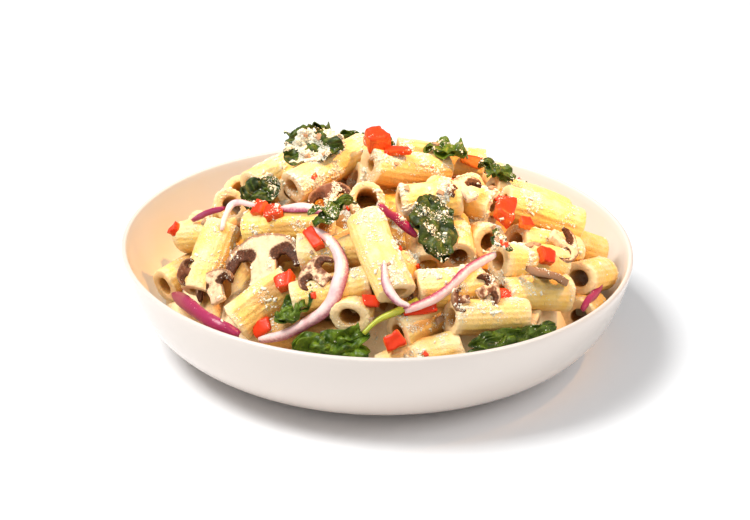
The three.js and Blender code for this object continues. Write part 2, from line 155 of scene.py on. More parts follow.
class PastaSettings(bpy.types.PropertyGroup):
    """The rigatoni and their sauce."""

    tube_radius: length("Tube radius", "Outer radius of a cooked tube", 8.4 * MM)
    hole_radius: length("Hole radius", "Radius of the widest hole through a tube", 5.2 * MM)
    ridge_depth: length("Ridge depth", "Height of a tube's ridges", 0.26 * MM)
    ridges: IntProperty(name="Ridges", description="Number of ridges round a tube", default=20)
    sauce_lumps: length("Sauce lumps", "How far the sauce stands out on a tube", 0.36 * MM)
    cream: colour("Cream", "Colour of the tubes where the sauce is thin", (0.88, 0.62, 0.26))
    gold: colour("Gold", "Colour of the bare cooked pasta", (0.93, 0.63, 0.14))
    sauce: colour("Sauce", "Colour of the thick sauce", (0.92, 0.74, 0.44))
    # Painted shade: a warm dark sauce colour where nearby food shelters a tube.
    pool: colour("Pool", "Colour of the sauce where tubes lie close together", (0.9, 0.56, 0.11))
    # Painted shade: the dark deep in the heap, in the tubes' holes and in the closest gaps.
    depth: colour("Depth", "Colour of the sauce deep in the heap", (0.46, 0.19, 0.03))


class ToppingSettings(bpy.types.PropertyGroup):
    """The colours of the vegetables."""

    tomato_red: colour("Tomato", "Ripe flesh", (0.66, 0.04, 0.006))
    tomato_orange: colour("Pale tomato", "Less ripe flesh", (0.84, 0.23, 0.03))
    onion_flesh: colour("Onion flesh", "Inner side of a strip", (0.86, 0.64, 0.62))
    onion_blush: colour("Onion blush", "Patches on the inner side", (0.72, 0.3, 0.36))
    onion_skin: colour("Onion skin", "Outer side of a strip", (0.33, 0.02, 0.09))
    leaf_dark: colour("Leaf", "Wilted leaf", (0.011, 0.023, 0.004))
    leaf_mid: colour("Leaf middle", "Paler patches of a wilted leaf", (0.04, 0.07, 0.01))
    leaf_fresh: colour("Fresh leaf", "A leaf that is hardly wilted", (0.03, 0.07, 0.003))
    leaf_light: colour("Leaf light", "Thin parts and veins of a leaf", (0.16, 0.26, 0.012))
    stem_green: colour("Stem", "Leaf stem", (0.52, 0.6, 0.05))
    mushroom_flesh: colour("Mushroom", "Cut flesh", (0.88, 0.64, 0.41))
    mushroom_gills: colour("Gills", "Gills of a slice", (0.06, 0.02, 0.008))
    mushroom_dark: colour("Dark mushroom", "Flesh of the browner slices", (0.16, 0.055, 0.024))
    mushroom_skin: colour("Mushroom skin", "Skin of the cap", (0.3, 0.165, 0.09))


class CheeseSettings(bpy.types.PropertyGroup):
    """The grated cheese."""

    dust: IntProperty(name="Dust", description="Number of the finest grains", default=48000)
    crumbs: IntProperty(name="Crumbs", description="Number of small crumbs", default=13000)
    shreds: IntProperty(name="Shreds", description="Number of larger shreds", default=1700)
    dust_size: length("Dust size", "Mean width of a grain", 0.3 * MM)
    crumb_size: length("Crumb size", "Mean width of a crumb", 0.38 * MM)
    shred_size: length("Shred size", "Mean length of a shred", 1.25 * MM)
    on_pasta: share("On pasta", "How much of what falls on bare pasta stays there", 0.9)
    white: colour("Cheese", "Colour of the cheese", (0.98, 0.93, 0.72))


class StageSettings(bpy.types.PropertyGroup):
    """The camera, the lamps and the floor."""

    elevation: degrees("Elevation", "How far the camera looks down", 24.13)
    roll: degrees("Roll", "How far the camera is turned about its view", 1.43)
    distance: length("Distance", "From the camera to the middle of the food", 0.95)
    lens: FloatProperty(
        name="Lens", description="Focal length in millimetres on a 36 mm sensor", default=97.3
    )
    key_power: watts("Key", "Power of the key lamp", 61)
    warm_power: watts("Warm", "Power of the warm lamp", 290)
    side_power: watts("Side", "Power of the side lamp", 11)
    fill_power: watts("Fill", "Power of the front lamp", 3.6)
    sky: FloatProperty(name="Sky", description="Strength of the white surroundings", default=0.36)
    floor: colour("Floor", "Colour of the floor", (0.87, 0.885, 0.905))


class RigatoniBowl(bpy.types.PropertyGroup):
    """Everything that can be set on the bowl of rigatoni."""

    bowl: PointerProperty(type=BowlSettings)
    pasta: PointerProperty(type=PastaSettings)
    toppings: PointerProperty(type=ToppingSettings)
    cheese: PointerProperty(type=CheeseSettings)
    stage: PointerProperty(type=StageSettings)


def settings():
    """What is set on this scene."""
    return bpy.context.scene.rigatoni_bowl


def clamp(value):
    """A value kept between 0 and 1."""
    return min(max(value, 0), 1)


# The food's places, in millimetres

# Each tube that the eye picks out: one end's x, y, z, the turn and tilt towards the other end in
# degrees, the length, and for some how wide the hole is, how pale the tube, and how firmly it is held.
SEEN_TUBES = [
    (-40, -16, 80, 42, 11, 45, 0.8, 1.0),
    (-60, 0, 71, 50, 9, 42, 0.75, 0.7),
    (-4, -10, 89, 32, -15, 42, 0.5, 1.0),
    (8, 24, 81, 2, -8, 42),
    (-3, -36, 83, 100, -30, 38, 0.95, 0.8),
    (9, -37, 83, 13, -3, 28),
    (53, -27, 77, 155, 0, 34),
    (56, -20, 75, 18, -24, 40, 0.8, 0.5),
    (52, 4, 72, 20, -24, 42),
    (106, 3, 42, 198, 20, 40, 0.6, 0.5),
    (104, -14, 38, 234, 21, 30),
    (90, -51, 38, 63, -8, 22, 0.7),
    (84, -53, 45, 205, 10, 34, 0.8, 0.4),
    (72, -67, 43, 165, 4, 34),
    (64, -75, 47, 205, 1, 36, 0.8, 0.7),
    (37, -91, 44, 195, -19, 38, 0.8, 1.0),
    (9, -92, 47, 34, 8, 26, 0.8, 1.0),
    (-8, -56, 79, -65, -33, 40, 0.8, 1.0),
    (-15, -48, 73, -55, -37, 24),
    (-11, -92, 53, 82, -4, 22, 0.8, 0.9, 1.0),
    (-33, -60, 65, -6, 8, 32),
    (9, -61, 68, -86, -32, 26),
    (16, -77, 57, 11, 0, 30),
    (36, -58, 67, 85, 5, 28),
    (49, -44, 71, 120, -20, 34),
    (55, -58, 64, 34, -17, 36),
    (62, -38, 65, 32, -20, 36),
    (-60, -31, 66, -27, 13, 42, 0.9, 0.0),
    (-90, 1, 47, -36, 26, 34),
    (-99, -19, 29, 46, 12, 40),
    (-80, -49, 42, 57, 41, 34),
    (-61, -73, 40, 12, 36, 30),
    (-36, -79, 54, 5, 13.6, 34, 0.8, None, 1.0),
    (-58, -45, 54, 20, 10, 40),
    (-66, -8, 65, 100, -30, 36),
]

# Dice of tomato: x, y, z, spin, lean, length, width, thickness, and how orange.
TOMATO = [
    (-2, -3, 100, 25, 10, 9, 10, 9.5, 0.3),
    (8, -6, 95.5, 10, 0, 12, 5, 3, 0.1),
    (43, 18, 81.5, 5, 0, 10, 6, 5, 1.0),
    (57, -34, 80, 80, 0, 15, 8, 6, 0.15),
    (66, -37, 75, 20, 0, 6, 5, 4, 0.9),
    (-53, -35, 77, 60, 0, 7, 6, 6, 0.5),
    (-46, -41, 78, 0, 0, 8, 7, 7, 0.2),
    (-95, -4, 52, 20, 0, 6, 4, 4, 0.0),
    (-28, -64, 77, -60, 0, 12, 5, 4, 0.2),
    (-49, -79, 40, 20, 0, 9, 7, 5, 0.1),
    (-40, -73, 60, 10, 0, 8, 7, 6, 0.3),
    (8, -101, 47, 30, 0, 8, 7, 6, 0.95),
    (75, -53, 66, 10, 0, 8, 7, 5, 0.3),
    (-2, -88, 59, 0, 0, 7, 5, 4, 0.0),
    (55, -75, 57, 0, 0, 7, 5, 4, 0.9),
    (19, -89, 56, 12, 0, 15, 4, 3, 0.0),
    (-30, 62, 60, 30, 0, 9, 8, 7, 0.4),
    (30, 60, 57, -40, 0, 10, 7, 6, 0.3),
]

# Slices of mushroom: x, y, z, spin, lean, cap width, and how dark.
MUSHROOM = [
    (-50, -57, 61, -5, 12, 38, 0.0),
    (-72, -55, 47, 10, 15, 22, 0.3),
    (-85, -47, 50, 70, 50, 13, 0.9),
    (-26, -79, 67, 50, 0, 19, 0.6),
    (38, -36, 90, 40, 0, 19, 0.4),
    (84, -38, 64, -105, 0, 22, 0.2),
    (75, -62, 61, 180, 59, 22, 0.95),
    (48, -82, 63, -60, 0, 15, 0.6),
    (36, -91, 62, 100, 0, 11, 0.7),
    (-22, -24, 79, 8, 30, 20, 0.9),
    (-42, 60, 59, 140, 0, 26, 0.1),
    (48, 46, 65, 200, 0, 24, 0.3),
]

# Strips of red onion: width, thickness, how red, the side with the skin, then the points along it.
ONION = [
    (5.5, 3, 0.34, -1, ((-29, -59, 79), (-22, -65, 78), (-17, -71, 74), (-15, -79, 69), (-17, -85, 62),
                        (-22, -88, 54), (-31, -88, 47), (-40, -87, 41), (-50, -82, 36))),
    (6.5, 3, 1.35, 1, ((-93, -30, 31), (-84, -56, 39), (-71, -77, 41), (-59, -82, 38))),
    (3, 2.5, 1.2, 1, ((-86, -7, 58), (-78, -15, 66), (-70, -21, 71))),
    (3, 2.5, 0.45, -1, ((-70, -37, 67), (-68, -25, 72), (-64, -23, 75), (-55, -35, 79))),
    (5, 3, 1.2, 1, ((0, -64, 90), (8, -54, 83), (17, -55, 75))),
    (4, 3, 0.55, 1, ((51, -65, 72), (41, -75, 70), (32, -84, 65), (24, -89, 61), (12, -98, 60))),
    (3.5, 2.5, 0.35, 1, ((3, -88, 78), (4, -95, 71), (9, -99, 65), (14, -99, 63))),
    (4, 2.5, 1.2, 1, ((103, -29, 44), (99, -41, 42), (92, -56, 41))),
    (5, 2, 0.4, 1, ((-43, -42, 81), (-33, -47, 84), (-24, -53, 85))),
    (4, 2.5, 0.6, 1, ((-52, 42, 64), (-40, 50, 65), (-24, 58, 61), (-6, 62, 62))),
    (4, 2.5, 0.6, -1, ((66, 12, 72), (66, 28, 64), (58, 44, 62))),
]

# Leaves of spinach: x, y, z, spin, lean, length, width, ruffle, how fresh, and how much cheese stays.
SPINACH = [
    (-30, -3, 94, 8, 45, 29, 17, 2, 0.15, 2.4),
    (-54, -13, 75, -5, 40, 20, 15, 1.5, 0, 0.15),
    (31, 12, 88.5, -38, 25, 22, 15, 2, 0.7, 0.5),
    (55, 5, 81.5, -10, 20, 18, 9, 2, 0.35, 0.4),
    (25, -56, 79, -75, 8, 34, 19, 2, 0, 0.15),
    (-20, -60, 89, 42, 0, 22, 8, 2, 0.5, 0.4),
    (-19, -95, 39, -6, 10, 36, 14, 2, 0.8, 0.04),
    (60, -89, 43, 20, 0, 46, 9, 2, 0.4, 0.12),
    (-35, -85, 53, 30, 0, 20, 10, 2, 0.6, 0.12),
    (54, -64, 77, -20, 0, 12, 5, 1, 0.2, 0.8),
    (-8, 46, 77, 20, 0, 30, 20, 2, 0.3, 0.5),
    (74, 30, 58, 120, 0, 26, 18, 2, 0.3, 0.5),
    (-34, 33, 87, 60, 0, 26, 16, 2, 0.3, 0.5),
]

# A leaf's stem: points along it, and its thickness.
STEM = [(18, -88, 60), (10, -92, 57), (1, -94, 53), (-5, -97, 48)]
STEM_SIZE = 3.4


# The heap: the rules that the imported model's solids follow, in millimetres

# The bowl's wall: how far the curve's first pull lies out from the foot, and its second in from
# the lip and below it.
FOOT_PULL = 42
RIM_PULL_IN = 7
RIM_PULL_DOWN = 43

# The smooth dome that the top layer follows.
HEAP_R = 108
HEAP_X = 5
HEAP_EDGE_Z = 30
HEAP_RISE = 68
HEAP_POWER = 0.72
HEAP_BACK_FALL = 0.3

# The tubes, how far they may press into each other, and how firmly each kind holds its place.
TUBE_R = 8.4
TUBE_LENGTH = 42
SQUASH = 2.5
SETTLE_ROUNDS = 60
HOLD_SEEN = 0.12
HOLD_FILL = 0.03
HOLD_FIXED = 1000.0
WALL_CLEARANCE = 0.6
WALL_STEPS = 24

# The tubes that fill what the seen ones leave bare.
FILL_PLACES = 300
FILL_REACH = 0.9
FILL_SHORTEST = 0.88
FILL_VARIES = 0.2
FILL_SEED = 41
FILL_SPACE = 16
FILL_SWING = 70
FILL_FRONT_Y = -25
FILL_SINK = 5
FILL_BACK_SINK = 2
GOLDEN_ANGLE = 2.39996

# A second layer, only in this script, lies in the gaps under the first.
UNDER_PLACES = 260
UNDER_SINK = 13
UNDER_SPACE = 15
UNDER_SQUASH = 4.0
UNDER_ROUNDS = 24
UNDER_SEED = 97
UNDER_SWING = 150
UNDER_LOWEST = 20
UNDER_CLEAR = 12
CORE_SINK = 21


def heap_height(x, y):
    """The height of the smooth heap that the top layer of food follows."""
    spread = ((x - HEAP_X) ** 2 + y**2) / HEAP_R**2
    dome = HEAP_EDGE_Z + HEAP_RISE * max(1 - spread, 0) ** HEAP_POWER
    return dome - HEAP_BACK_FALL * max(y, 0)


def drawer(seed):
    """A repeatable draw between 0 and 1, the same as the solids' own."""
    state = seed
    while True:
        state = (state * 16807) % 2147483647
        yield state / 2147483647


def wall_profile(bowl, steps):
    """The bowl's wall, thinner towards the lip: up the outside, and down the inside."""
    foot, rim = bowl.foot_radius, bowl.rim_radius
    low, top = bowl.foot_height, bowl.rim_height - bowl.lip / 2
    knots = [
        Vector((foot, low)),
        Vector((foot + FOOT_PULL * MM, low)),
        Vector((rim - RIM_PULL_IN * MM, bowl.rim_height - RIM_PULL_DOWN * MM)),
        Vector((rim, top)),
    ]
    outside = interpolate_bezier(*knots, steps + 1)
    inside = []
    for i, point in enumerate(outside):
        t = i / steps
        along = (knots[1] - knots[0]) * (1 - t) ** 2
        along += (knots[2] - knots[1]) * 2 * t * (1 - t)
        along += (knots[3] - knots[2]) * t**2
        along.normalize()
        thickness = bowl.wall + (bowl.lip - bowl.wall) * t**3
        inside.insert(0, point + Vector((-along.y, along.x)) * thickness)
    return outside, inside


def inner_profile(bowl, margin):
    """The inner wall moved in by a margin, in millimetres, from the rim down to the floor."""
    inside = wall_profile(bowl, WALL_STEPS)[1]
    profile = []
    for i, point in enumerate(inside):
        step = inside[min(i + 1, len(inside) - 1)] - inside[max(i - 1, 0)]
        step.normalize()
        moved = point / MM + Vector((step.y, -step.x)) * margin
        profile.append((moved.x, moved.y))
    return profile


def radius_at(profile, z, rim_height):
    """The radius that a profile has at a height."""
    for (r0, z0), (r1, z1) in zip(profile, profile[1:]):
        if z1 < z <= z0:
            return r1 + (r0 - r1) * (z - z1) / (z0 - z1)
    return profile[0][0] if z > rim_height / 2 else profile[-1][0]


class Tube:
    """One of the rigatoni: its two ends, where they want to be, and how firmly."""

    def __init__(self, x, y, z, turn, tilt, size, hole=0.8, pale=None, hold=HOLD_SEEN):
        flat = math.cos(math.radians(tilt)) * size
        end = [
            x + math.cos(math.radians(turn)) * flat,
            y + math.sin(math.radians(turn)) * flat,
            z + math.sin(math.radians(tilt)) * size,
        ]
        self.ends = [[x, y, z], end]
        self.home = [[x, y, z], list(end)]
        self.size = size
        self.hole = hole
        self.pale = pale
        self.hold = hold

    def plan_distance(self, x, y):
        """How far a point lies from the tube's axis in plan."""
        a, b = self.ends
        dx, dy = b[0] - a[0], b[1] - a[1]
        along = clamp(((x - a[0]) * dx + (y - a[1]) * dy) / (dx * dx + dy * dy))
        return math.hypot(x - a[0] - along * dx, y - a[1] - along * dy)

    def shift(self, at, step):
        """Moves the axis so that its point at a share along it shifts by a step."""
        weight = (1 - at) ** 2 + at**2
        for k in range(3):
            self.ends[0][k] += step[k] * (1 - at) / weight
            self.ends[1][k] += step[k] * at / weight

    def keep_length(self):
        """Puts the tube's own length back."""
        a, b = self.ends
        now = math.dist(a, b)
        for k in range(3):
            middle = (a[k] + b[k]) / 2
            half = (b[k] - a[k]) / 2 * self.size / now
            a[k] = middle - half
            b[k] = middle + half


def nearest(first, second):
    """The nearest points of two tubes' axes: the share along each, and the step between them."""
    (a, b), (c, d) = first.ends, second.ends
    u = (b[0] - a[0], b[1] - a[1], b[2] - a[2])
    v = (d[0] - c[0], d[1] - c[1], d[2] - c[2])
    w = (a[0] - c[0], a[1] - c[1], a[2] - c[2])
    uu = u[0] * u[0] + u[1] * u[1] + u[2] * u[2]
    uv = u[0] * v[0] + u[1] * v[1] + u[2] * v[2]
    vv = v[0] * v[0] + v[1] * v[1] + v[2] * v[2]
    uw = u[0] * w[0] + u[1] * w[1] + u[2] * w[2]
    vw = v[0] * w[0] + v[1] * w[1] + v[2] * w[2]
    cross = uu * vv - uv * uv
    s = clamp((uv * vw - vv * uw) / cross) if cross > TINY else 0.5
    t = clamp((uv * s + vw) / vv)
    s = clamp((uv * t - uw) / uu)
    between = [w[k] + s * u[k] - t * v[k] for k in range(3)]
    return s, t, between, math.hypot(*between)


def push_apart(first, second, reach):
    """Pushes two tubes that lie in each other apart, the less firmly held one further."""
    s, t, between, apart = nearest(first, second)
    if apart >= reach or apart < TINY:
        return
    push = (reach - apart) / apart
    part = first.hold / (first.hold + second.hold)
    first.shift(s, [v * push * (1 - part) for v in between])
    second.shift(t, [-v * push * part for v in between])


def settle(tubes, fixed, reach, rounds, wall, rim_height, lowest=0):
    """Pushes tubes off each other and off the fixed ones, near their places and inside the bowl."""
    for _ in range(rounds):
        for i, first in enumerate(tubes):
            for second in tubes[i + 1 :]:
                push_apart(first, second, reach)
            for other in fixed:
                push_apart(first, other, reach)
        for tube in tubes:
            for end, home in zip(tube.ends, tube.home):
                for k in range(3):
                    end[k] += (home[k] - end[k]) * tube.hold
                end[2] = max(end[2], lowest)
                most = radius_at(wall, end[2], rim_height)
                r = math.hypot(end[0], end[1])
                if r > most:
                    end[0] *= most / r
                    end[1] *= most / r
            tube.keep_length()


def sloping_tube(x, y, turn, half, sink):
    """A loose tube centred on a place, lying along the heap's slope in a direction."""
    dx, dy = math.cos(math.radians(turn)), math.sin(math.radians(turn))
    rise = heap_height(x + dx, y + dy) - heap_height(x - dx, y - dy)
    tilt = math.degrees(math.atan2(rise, 2))
    flat = math.cos(math.radians(tilt)) * half
    z = heap_height(x, y) - sink - math.sin(math.radians(tilt)) * half
    return Tube(x - dx * flat, y - dy * flat, z, turn, tilt, half * 2, hold=HOLD_FILL)


def spiral(places):
    """Places spread evenly over the heap's plan, and the angle of each."""
    for i in range(places):
        r = HEAP_R * FILL_REACH * math.sqrt((i + 0.5) / places)
        angle = i * GOLDEN_ANGLE
        yield HEAP_X + r * math.cos(angle), r * math.sin(angle), math.degrees(angle)


def top_layer(wall, rim_height):
    """The tubes that the solids have too: those seen, and those that fill what they leave bare."""
    tubes = [Tube(*row) for row in SEEN_TUBES]
    draw = drawer(FILL_SEED)
    for x, y, angle in spiral(FILL_PLACES):
        turn = angle + 90 + FILL_SWING * (next(draw) - 0.5)
        half = TUBE_LENGTH * (FILL_SHORTEST + FILL_VARIES * next(draw)) / 2
        if any(tube.plan_distance(x, y) < FILL_SPACE for tube in tubes):
            continue
        sink = TUBE_R + (FILL_SINK if y < FILL_FRONT_Y else FILL_BACK_SINK)
        tubes.append(sloping_tube(x, y, turn, half, sink))
    settle(tubes, [], 2 * TUBE_R - SQUASH, SETTLE_ROUNDS, wall, rim_height)
    return tubes


def lies_deep(tube):
    """Whether a tube's middle and both its ends lie well under the heap's smooth top."""
    a, b = tube.ends
    middle = [(p + q) / 2 for p, q in zip(a, b)]
    return all(heap_height(x, y) - z > UNDER_CLEAR for x, y, z in (a, middle, b))


def under_layer(tubes, wall, rim_height):
    """More tubes, deeper in the heap, pushed out of the top layer's way."""
    under = []
    draw = drawer(UNDER_SEED)
    for x, y, angle in spiral(UNDER_PLACES):
        turn = angle + 90 + UNDER_SWING * (next(draw) - 0.5)
        half = TUBE_LENGTH * (FILL_SHORTEST + FILL_VARIES * next(draw)) / 2
        if any(tube.plan_distance(x, y) < UNDER_SPACE for tube in under):
            continue
        under.append(sloping_tube(x, y, turn, half, TUBE_R + UNDER_SINK))
    for tube in tubes:
        tube.hold = HOLD_FIXED
    settle(under, tubes, 2 * TUBE_R - UNDER_SQUASH, UNDER_ROUNDS, wall, rim_height, UNDER_LOWEST)
    return [tube for tube in under if lies_deep(tube)]


def slope_normal(x, y):
    """The upward direction of the heap's slope at a place."""
    dx = heap_height(x + 1, y) - heap_height(x - 1, y)
    dy = heap_height(x, y + 1) - heap_height(x, y - 1)
    return Vector((-dx / 2, -dy / 2, 1)).normalized()


def slope_frame(x, y, z, spin=0, lean=0):
    """Metres on a piece that lies on the slope to metres in the bowl: spun, then leant over."""
    up = slope_normal(x, y)
    east = (Vector((1, 0, 0)) - up * up.x).normalized()
    axes = Matrix((east, up.cross(east), up)).transposed().to_4x4()
    place = Matrix.Translation(Vector((x, y, z)) * MM) @ axes
    spun = place @ Matrix.Rotation(math.radians(spin), 4, "Z")
    return spun @ Matrix.Rotation(math.radians(lean), 4, "X")


# Meshes


class Batch:
    """Shapes gathered into one mesh, with named values kept for each of their points."""

    def __init__(self, *names):
        self.bm = bmesh.new()
        self.step = bpy.data.meshes.new("step")
        self.values = {name: [] for name in names}

    def add(self, shape, matrix, **values):
        """Adds a bmesh, moved by a matrix; a value is a number or a list with one for each point."""
        shape.transform(matrix)
        count = len(shape.verts)
        shape.to_mesh(self.step)
        self.bm.from_mesh(self.step)
        for name, held in self.values.items():
            value = values[name]
            held.extend(value if isinstance(value, list) else [value] * count)

    def piece(self, name, finish, slot, nodes=()):
        """Makes the whole batch one piece of the model."""
        made = add_piece(name, self.bm, finish, nodes)
        for key, held in self.values.items():
            layer = made.data.attributes.new(key, "FLOAT", "POINT")
            layer.data.foreach_set("value", held)
        bpy.data.meshes.remove(self.step)
        return made


def add_piece(name, bm, finish, nodes=()):
    """Makes a bmesh a smooth piece that rides on the bowl and stands for the nodes given."""
    for face in bm.faces:
        face.smooth = True
    mesh = bpy.data.meshes.new(name)
    bm.to_mesh(mesh)
    bm.free()
    mesh.materials.append(finish)
    piece = bpy.data.objects.new(name, mesh)
    bpy.context.scene.collection.objects.link(piece)
    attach(piece, BODY)
    if nodes:
        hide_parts(*nodes)
    return piece


def add_shape(name, shape, finish, slot, nodes=(), matrix=Matrix.Identity(4), **values):
    """Makes one bmesh a piece, moved by a matrix, with named values kept for its points."""
    batch = Batch(*values)
    batch.add(shape, matrix, **values)
    return batch.piece(name, finish, slot, nodes)


def nodes_of(kind):
    """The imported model's nodes of one kind, in their order."""
    names = [name for name in frame["nodes"] if name.rsplit("_", 1)[0] == kind]
    return sorted(names, key=lambda name: int(name.rsplit("_", 1)[1]))


def turned(profile, sides, closed=True):
    """A bmesh spun about Z from a profile of (radius, height)."""
    bm = bmesh.new()
    points = [bm.verts.new((r, 0, z)) for r, z in profile]
    ahead = points[1:] + points[:1] if closed else points[1:]
    edges = [bm.edges.new((a, b)) for a, b in zip(points, ahead)]
    bmesh.ops.spin(
        bm,
        geom=points + edges,
        cent=(0, 0, 0),
        axis=(0, 0, 1),
        angle=math.tau,
        steps=sides,
        use_merge=True,
    )
    bmesh.ops.remove_doubles(bm, verts=bm.verts, dist=TINY)
    bmesh.ops.recalc_face_normals(bm, faces=bm.faces)
    return bm


def verts_in(geom):
    """The points among the parts that a bmesh operator gives back."""
    return [part for part in geom if isinstance(part, bmesh.types.BMVert)]


def soften(bm, factor):
    """Moves each point of a shape towards its neighbours."""
    axes = {"use_axis_x": True, "use_axis_y": True, "use_axis_z": True}
    bmesh.ops.smooth_vert(bm, verts=bm.verts, factor=factor, **axes)


def surface_of(*names):
    """The surface of pieces, to rest other pieces on."""
    gathered = bmesh.new()
    for name in names:
        gathered.from_mesh(bpy.data.objects[name].data)
    tree = BVHTree.FromBMesh(gathered)
    gathered.free()
    return tree


# How far above the food a ray starts that looks for it from above, in metres.
LOOK_FROM = 0.05


def top_of(surface, x, y):
    """The height of a surface at a place in metres, or nothing where it has none."""
    hit = surface.ray_cast(Vector((x, y, cad_high.z + LOOK_FROM)), Vector((0, 0, -1)))[0]
    return hit.z if hit else None


# Shelter: how far off food still shelters a point, how far off the point the rays start, the rays'
# lean in degrees with their number at each, and how often the result is averaged with its neighbours.
SHELTER_REACH = 13 * MM
SHELTER_START = 0.3
SHELTER_LEANS = [(0, 1), (32, 4), (62, 7)]
SHELTER_ROUNDS = 3

# The share of a shape's points that have to clear the surface that it is lifted onto.
CLEAR_SHARE = 0.8


def shelter_aims():
    """Unit directions spread about +Z."""
    aims = []
    for lean, count in SHELTER_LEANS:
        high, out = math.cos(math.radians(lean)), math.sin(math.radians(lean))
        for i in range(count):
            angle = math.tau * i / count + lean
            aims.append(Vector((out * math.cos(angle), out * math.sin(angle), high)))
    return aims


def keep_shelter(name, surface):
    """Keeps, for each point of a piece, the share of its directions that food nearby blocks."""
    mesh = bpy.data.objects[name].data
    aims = shelter_aims()
    held = []
    for vert in mesh.vertices:
        turn = vert.normal.to_track_quat("Z", "Y").to_matrix()
        start = vert.co + vert.normal * SHELTER_START * MM
        hits = [surface.ray_cast(start, turn @ aim, SHELTER_REACH)[3] for aim in aims]
        held.append(sum(hit is not None for hit in hits) / len(aims))
    for _ in range(SHELTER_ROUNDS):
        total, count = list(held), [1] * len(held)
        for edge in mesh.edges:
            a, b = edge.vertices
            total[a] += held[b]
            total[b] += held[a]
            count[a] += 1
            count[b] += 1
        held = [value / number for value, number in zip(total, count)]
    mesh.attributes.new("shelter", "FLOAT", "POINT").data.foreach_set("value", held)


def rise(surface, shape, matrix, within):
    """How far a shape must rise for nearly all of its points to clear a surface."""
    short = []
    for vert in shape.verts:
        place = matrix @ vert.co
        top = top_of(surface, place.x, place.y)
        if top is not None:
            short.append(top - place.z)
    short.sort()
    return min(max(short[int(len(short) * CLEAR_SHARE)], 0), within) if short else 0


# Finishes


class Value:
    """A number or colour on its way through a finish, which sums can be written with."""

    def __init__(self, finish, socket):
        self.finish = finish
        self.socket = socket

    def sum(self, operation, first, second):
        return self.finish.node("ShaderNodeMath", {"operation": operation}, {0: first, 1: second})

    def __add__(self, other):
        return self.sum("ADD", self, other)

    def __sub__(self, other):
        return self.sum("SUBTRACT", self, other)

    def __mul__(self, other):
        return self.sum("MULTIPLY", self, other)

    def __radd__(self, other):
        return self.sum("ADD", other, self)

    def __rsub__(self, other):
        return self.sum("SUBTRACT", other, self)

    def __rmul__(self, other):
        return self.sum("MULTIPLY", other, self)


class Finish:
    """A material round one Principled shader."""

    def __init__(self, name, **fixed):
        self.material = bpy.data.materials.new(name)
        self.material.use_nodes = True
        self.tree = self.material.node_tree
        self.shader = self.tree.nodes["Principled BSDF"]
        for key, value in fixed.items():
            self.shader.inputs[key.replace("_", " ")].default_value = value

    def node(self, kind, how=None, inputs=None, output=0):
        """Adds a node with its settings and the values or links of its sockets."""
        made = self.tree.nodes.new(kind)
        for key, value in (how or {}).items():
            if key == "stops":
                self.set_stops(made.color_ramp, value)
            else:
                setattr(made, key, value)
        for key, value in (inputs or {}).items():
            if isinstance(value, Value):
                self.tree.links.new(value.socket, made.inputs[key])
            else:
                made.inputs[key].default_value = value
        return Value(self, made.outputs[output])

    def set_stops(self, ramp, stops):
        while len(ramp.elements) < len(stops):
            ramp.elements.new(1)
        for element, (at, shade) in zip(ramp.elements, stops):
            element.position = at
            element.color = (*shade, 1)

    def feed(self, socket, value):
        self.tree.links.new(value.socket, self.shader.inputs[socket])

    def place(self):
        """Where a point lies, in metres."""
        return self.node("ShaderNodeTexCoord", output="Object")

    def held(self, name):
        """A value kept for each point of the mesh."""
        return self.node("ShaderNodeAttribute", {"attribute_name": name}, output="Fac")

    def noise(self, size, detail=3, rough=0.5):
        """Soft random patches about a size, in metres."""
        sockets = {"Scale": 1 / size, "Detail": detail, "Roughness": rough}
        return self.node("ShaderNodeTexNoise", inputs={"Vector": self.place(), **sockets})

    def step(self, value, low, high):
        """0 below a low value, 1 above a high one, and smooth between."""
        sockets = {"Value": value, "From Min": low, "From Max": high}
        return self.node("ShaderNodeMapRange", {"interpolation_type": "SMOOTHSTEP"}, sockets)

    def mix(self, factor, first, second):
        """One colour going over into another."""
        shades = [shade if isinstance(shade, Value) else (*shade, 1) for shade in (first, second)]
        sockets = {0: factor, 6: shades[0], 7: shades[1]}
        return self.node("ShaderNodeMix", {"data_type": "RGBA"}, sockets, output=2)

    def bump(self, height, depth):
        """Relief of a depth in metres."""
        sockets = {"Strength": 1.0, "Distance": depth, "Height": height}
        self.feed("Normal", self.node("ShaderNodeBump", inputs=sockets))


def darker(shade, share_left):
    """A colour with a share of its light left."""
    return [part * share_left for part in shade]


def glaze_finish(bowl):
    """Warm white glaze on a bare clay foot, with painted shade darkening it towards the foot and painted
    light making it paler inside the bowl.
    """
    finish = Finish("glaze", Roughness=0.22, Coat_Weight=0.35, Coat_Roughness=0.08, IOR=1.5)
    height = finish.node("ShaderNodeSeparateXYZ", inputs={"Vector": finish.place()}, output="Z")
    clay = finish.step(height, bowl.foot_height * 0.6, bowl.foot_height * 0.2)
    tone = finish.mix(finish.noise(0.05), bowl.glaze, darker(bowl.glaze, 0.975))
    # Painted shade, darker towards the foot.
    tone = finish.mix(finish.step(height, bowl.rim_height * 0.7, 0) * 0.8, tone, bowl.glaze_low_shade)
    # Painted light: paler glaze inside the bowl.
    tone = finish.mix(finish.held("inside"), tone, bowl.glaze_inside_lit)
    finish.feed("Base Color", finish.mix(clay, tone, bowl.foot_clay))
    finish.bump(finish.noise(0.012, detail=1), 0.00004)
    return finish.material


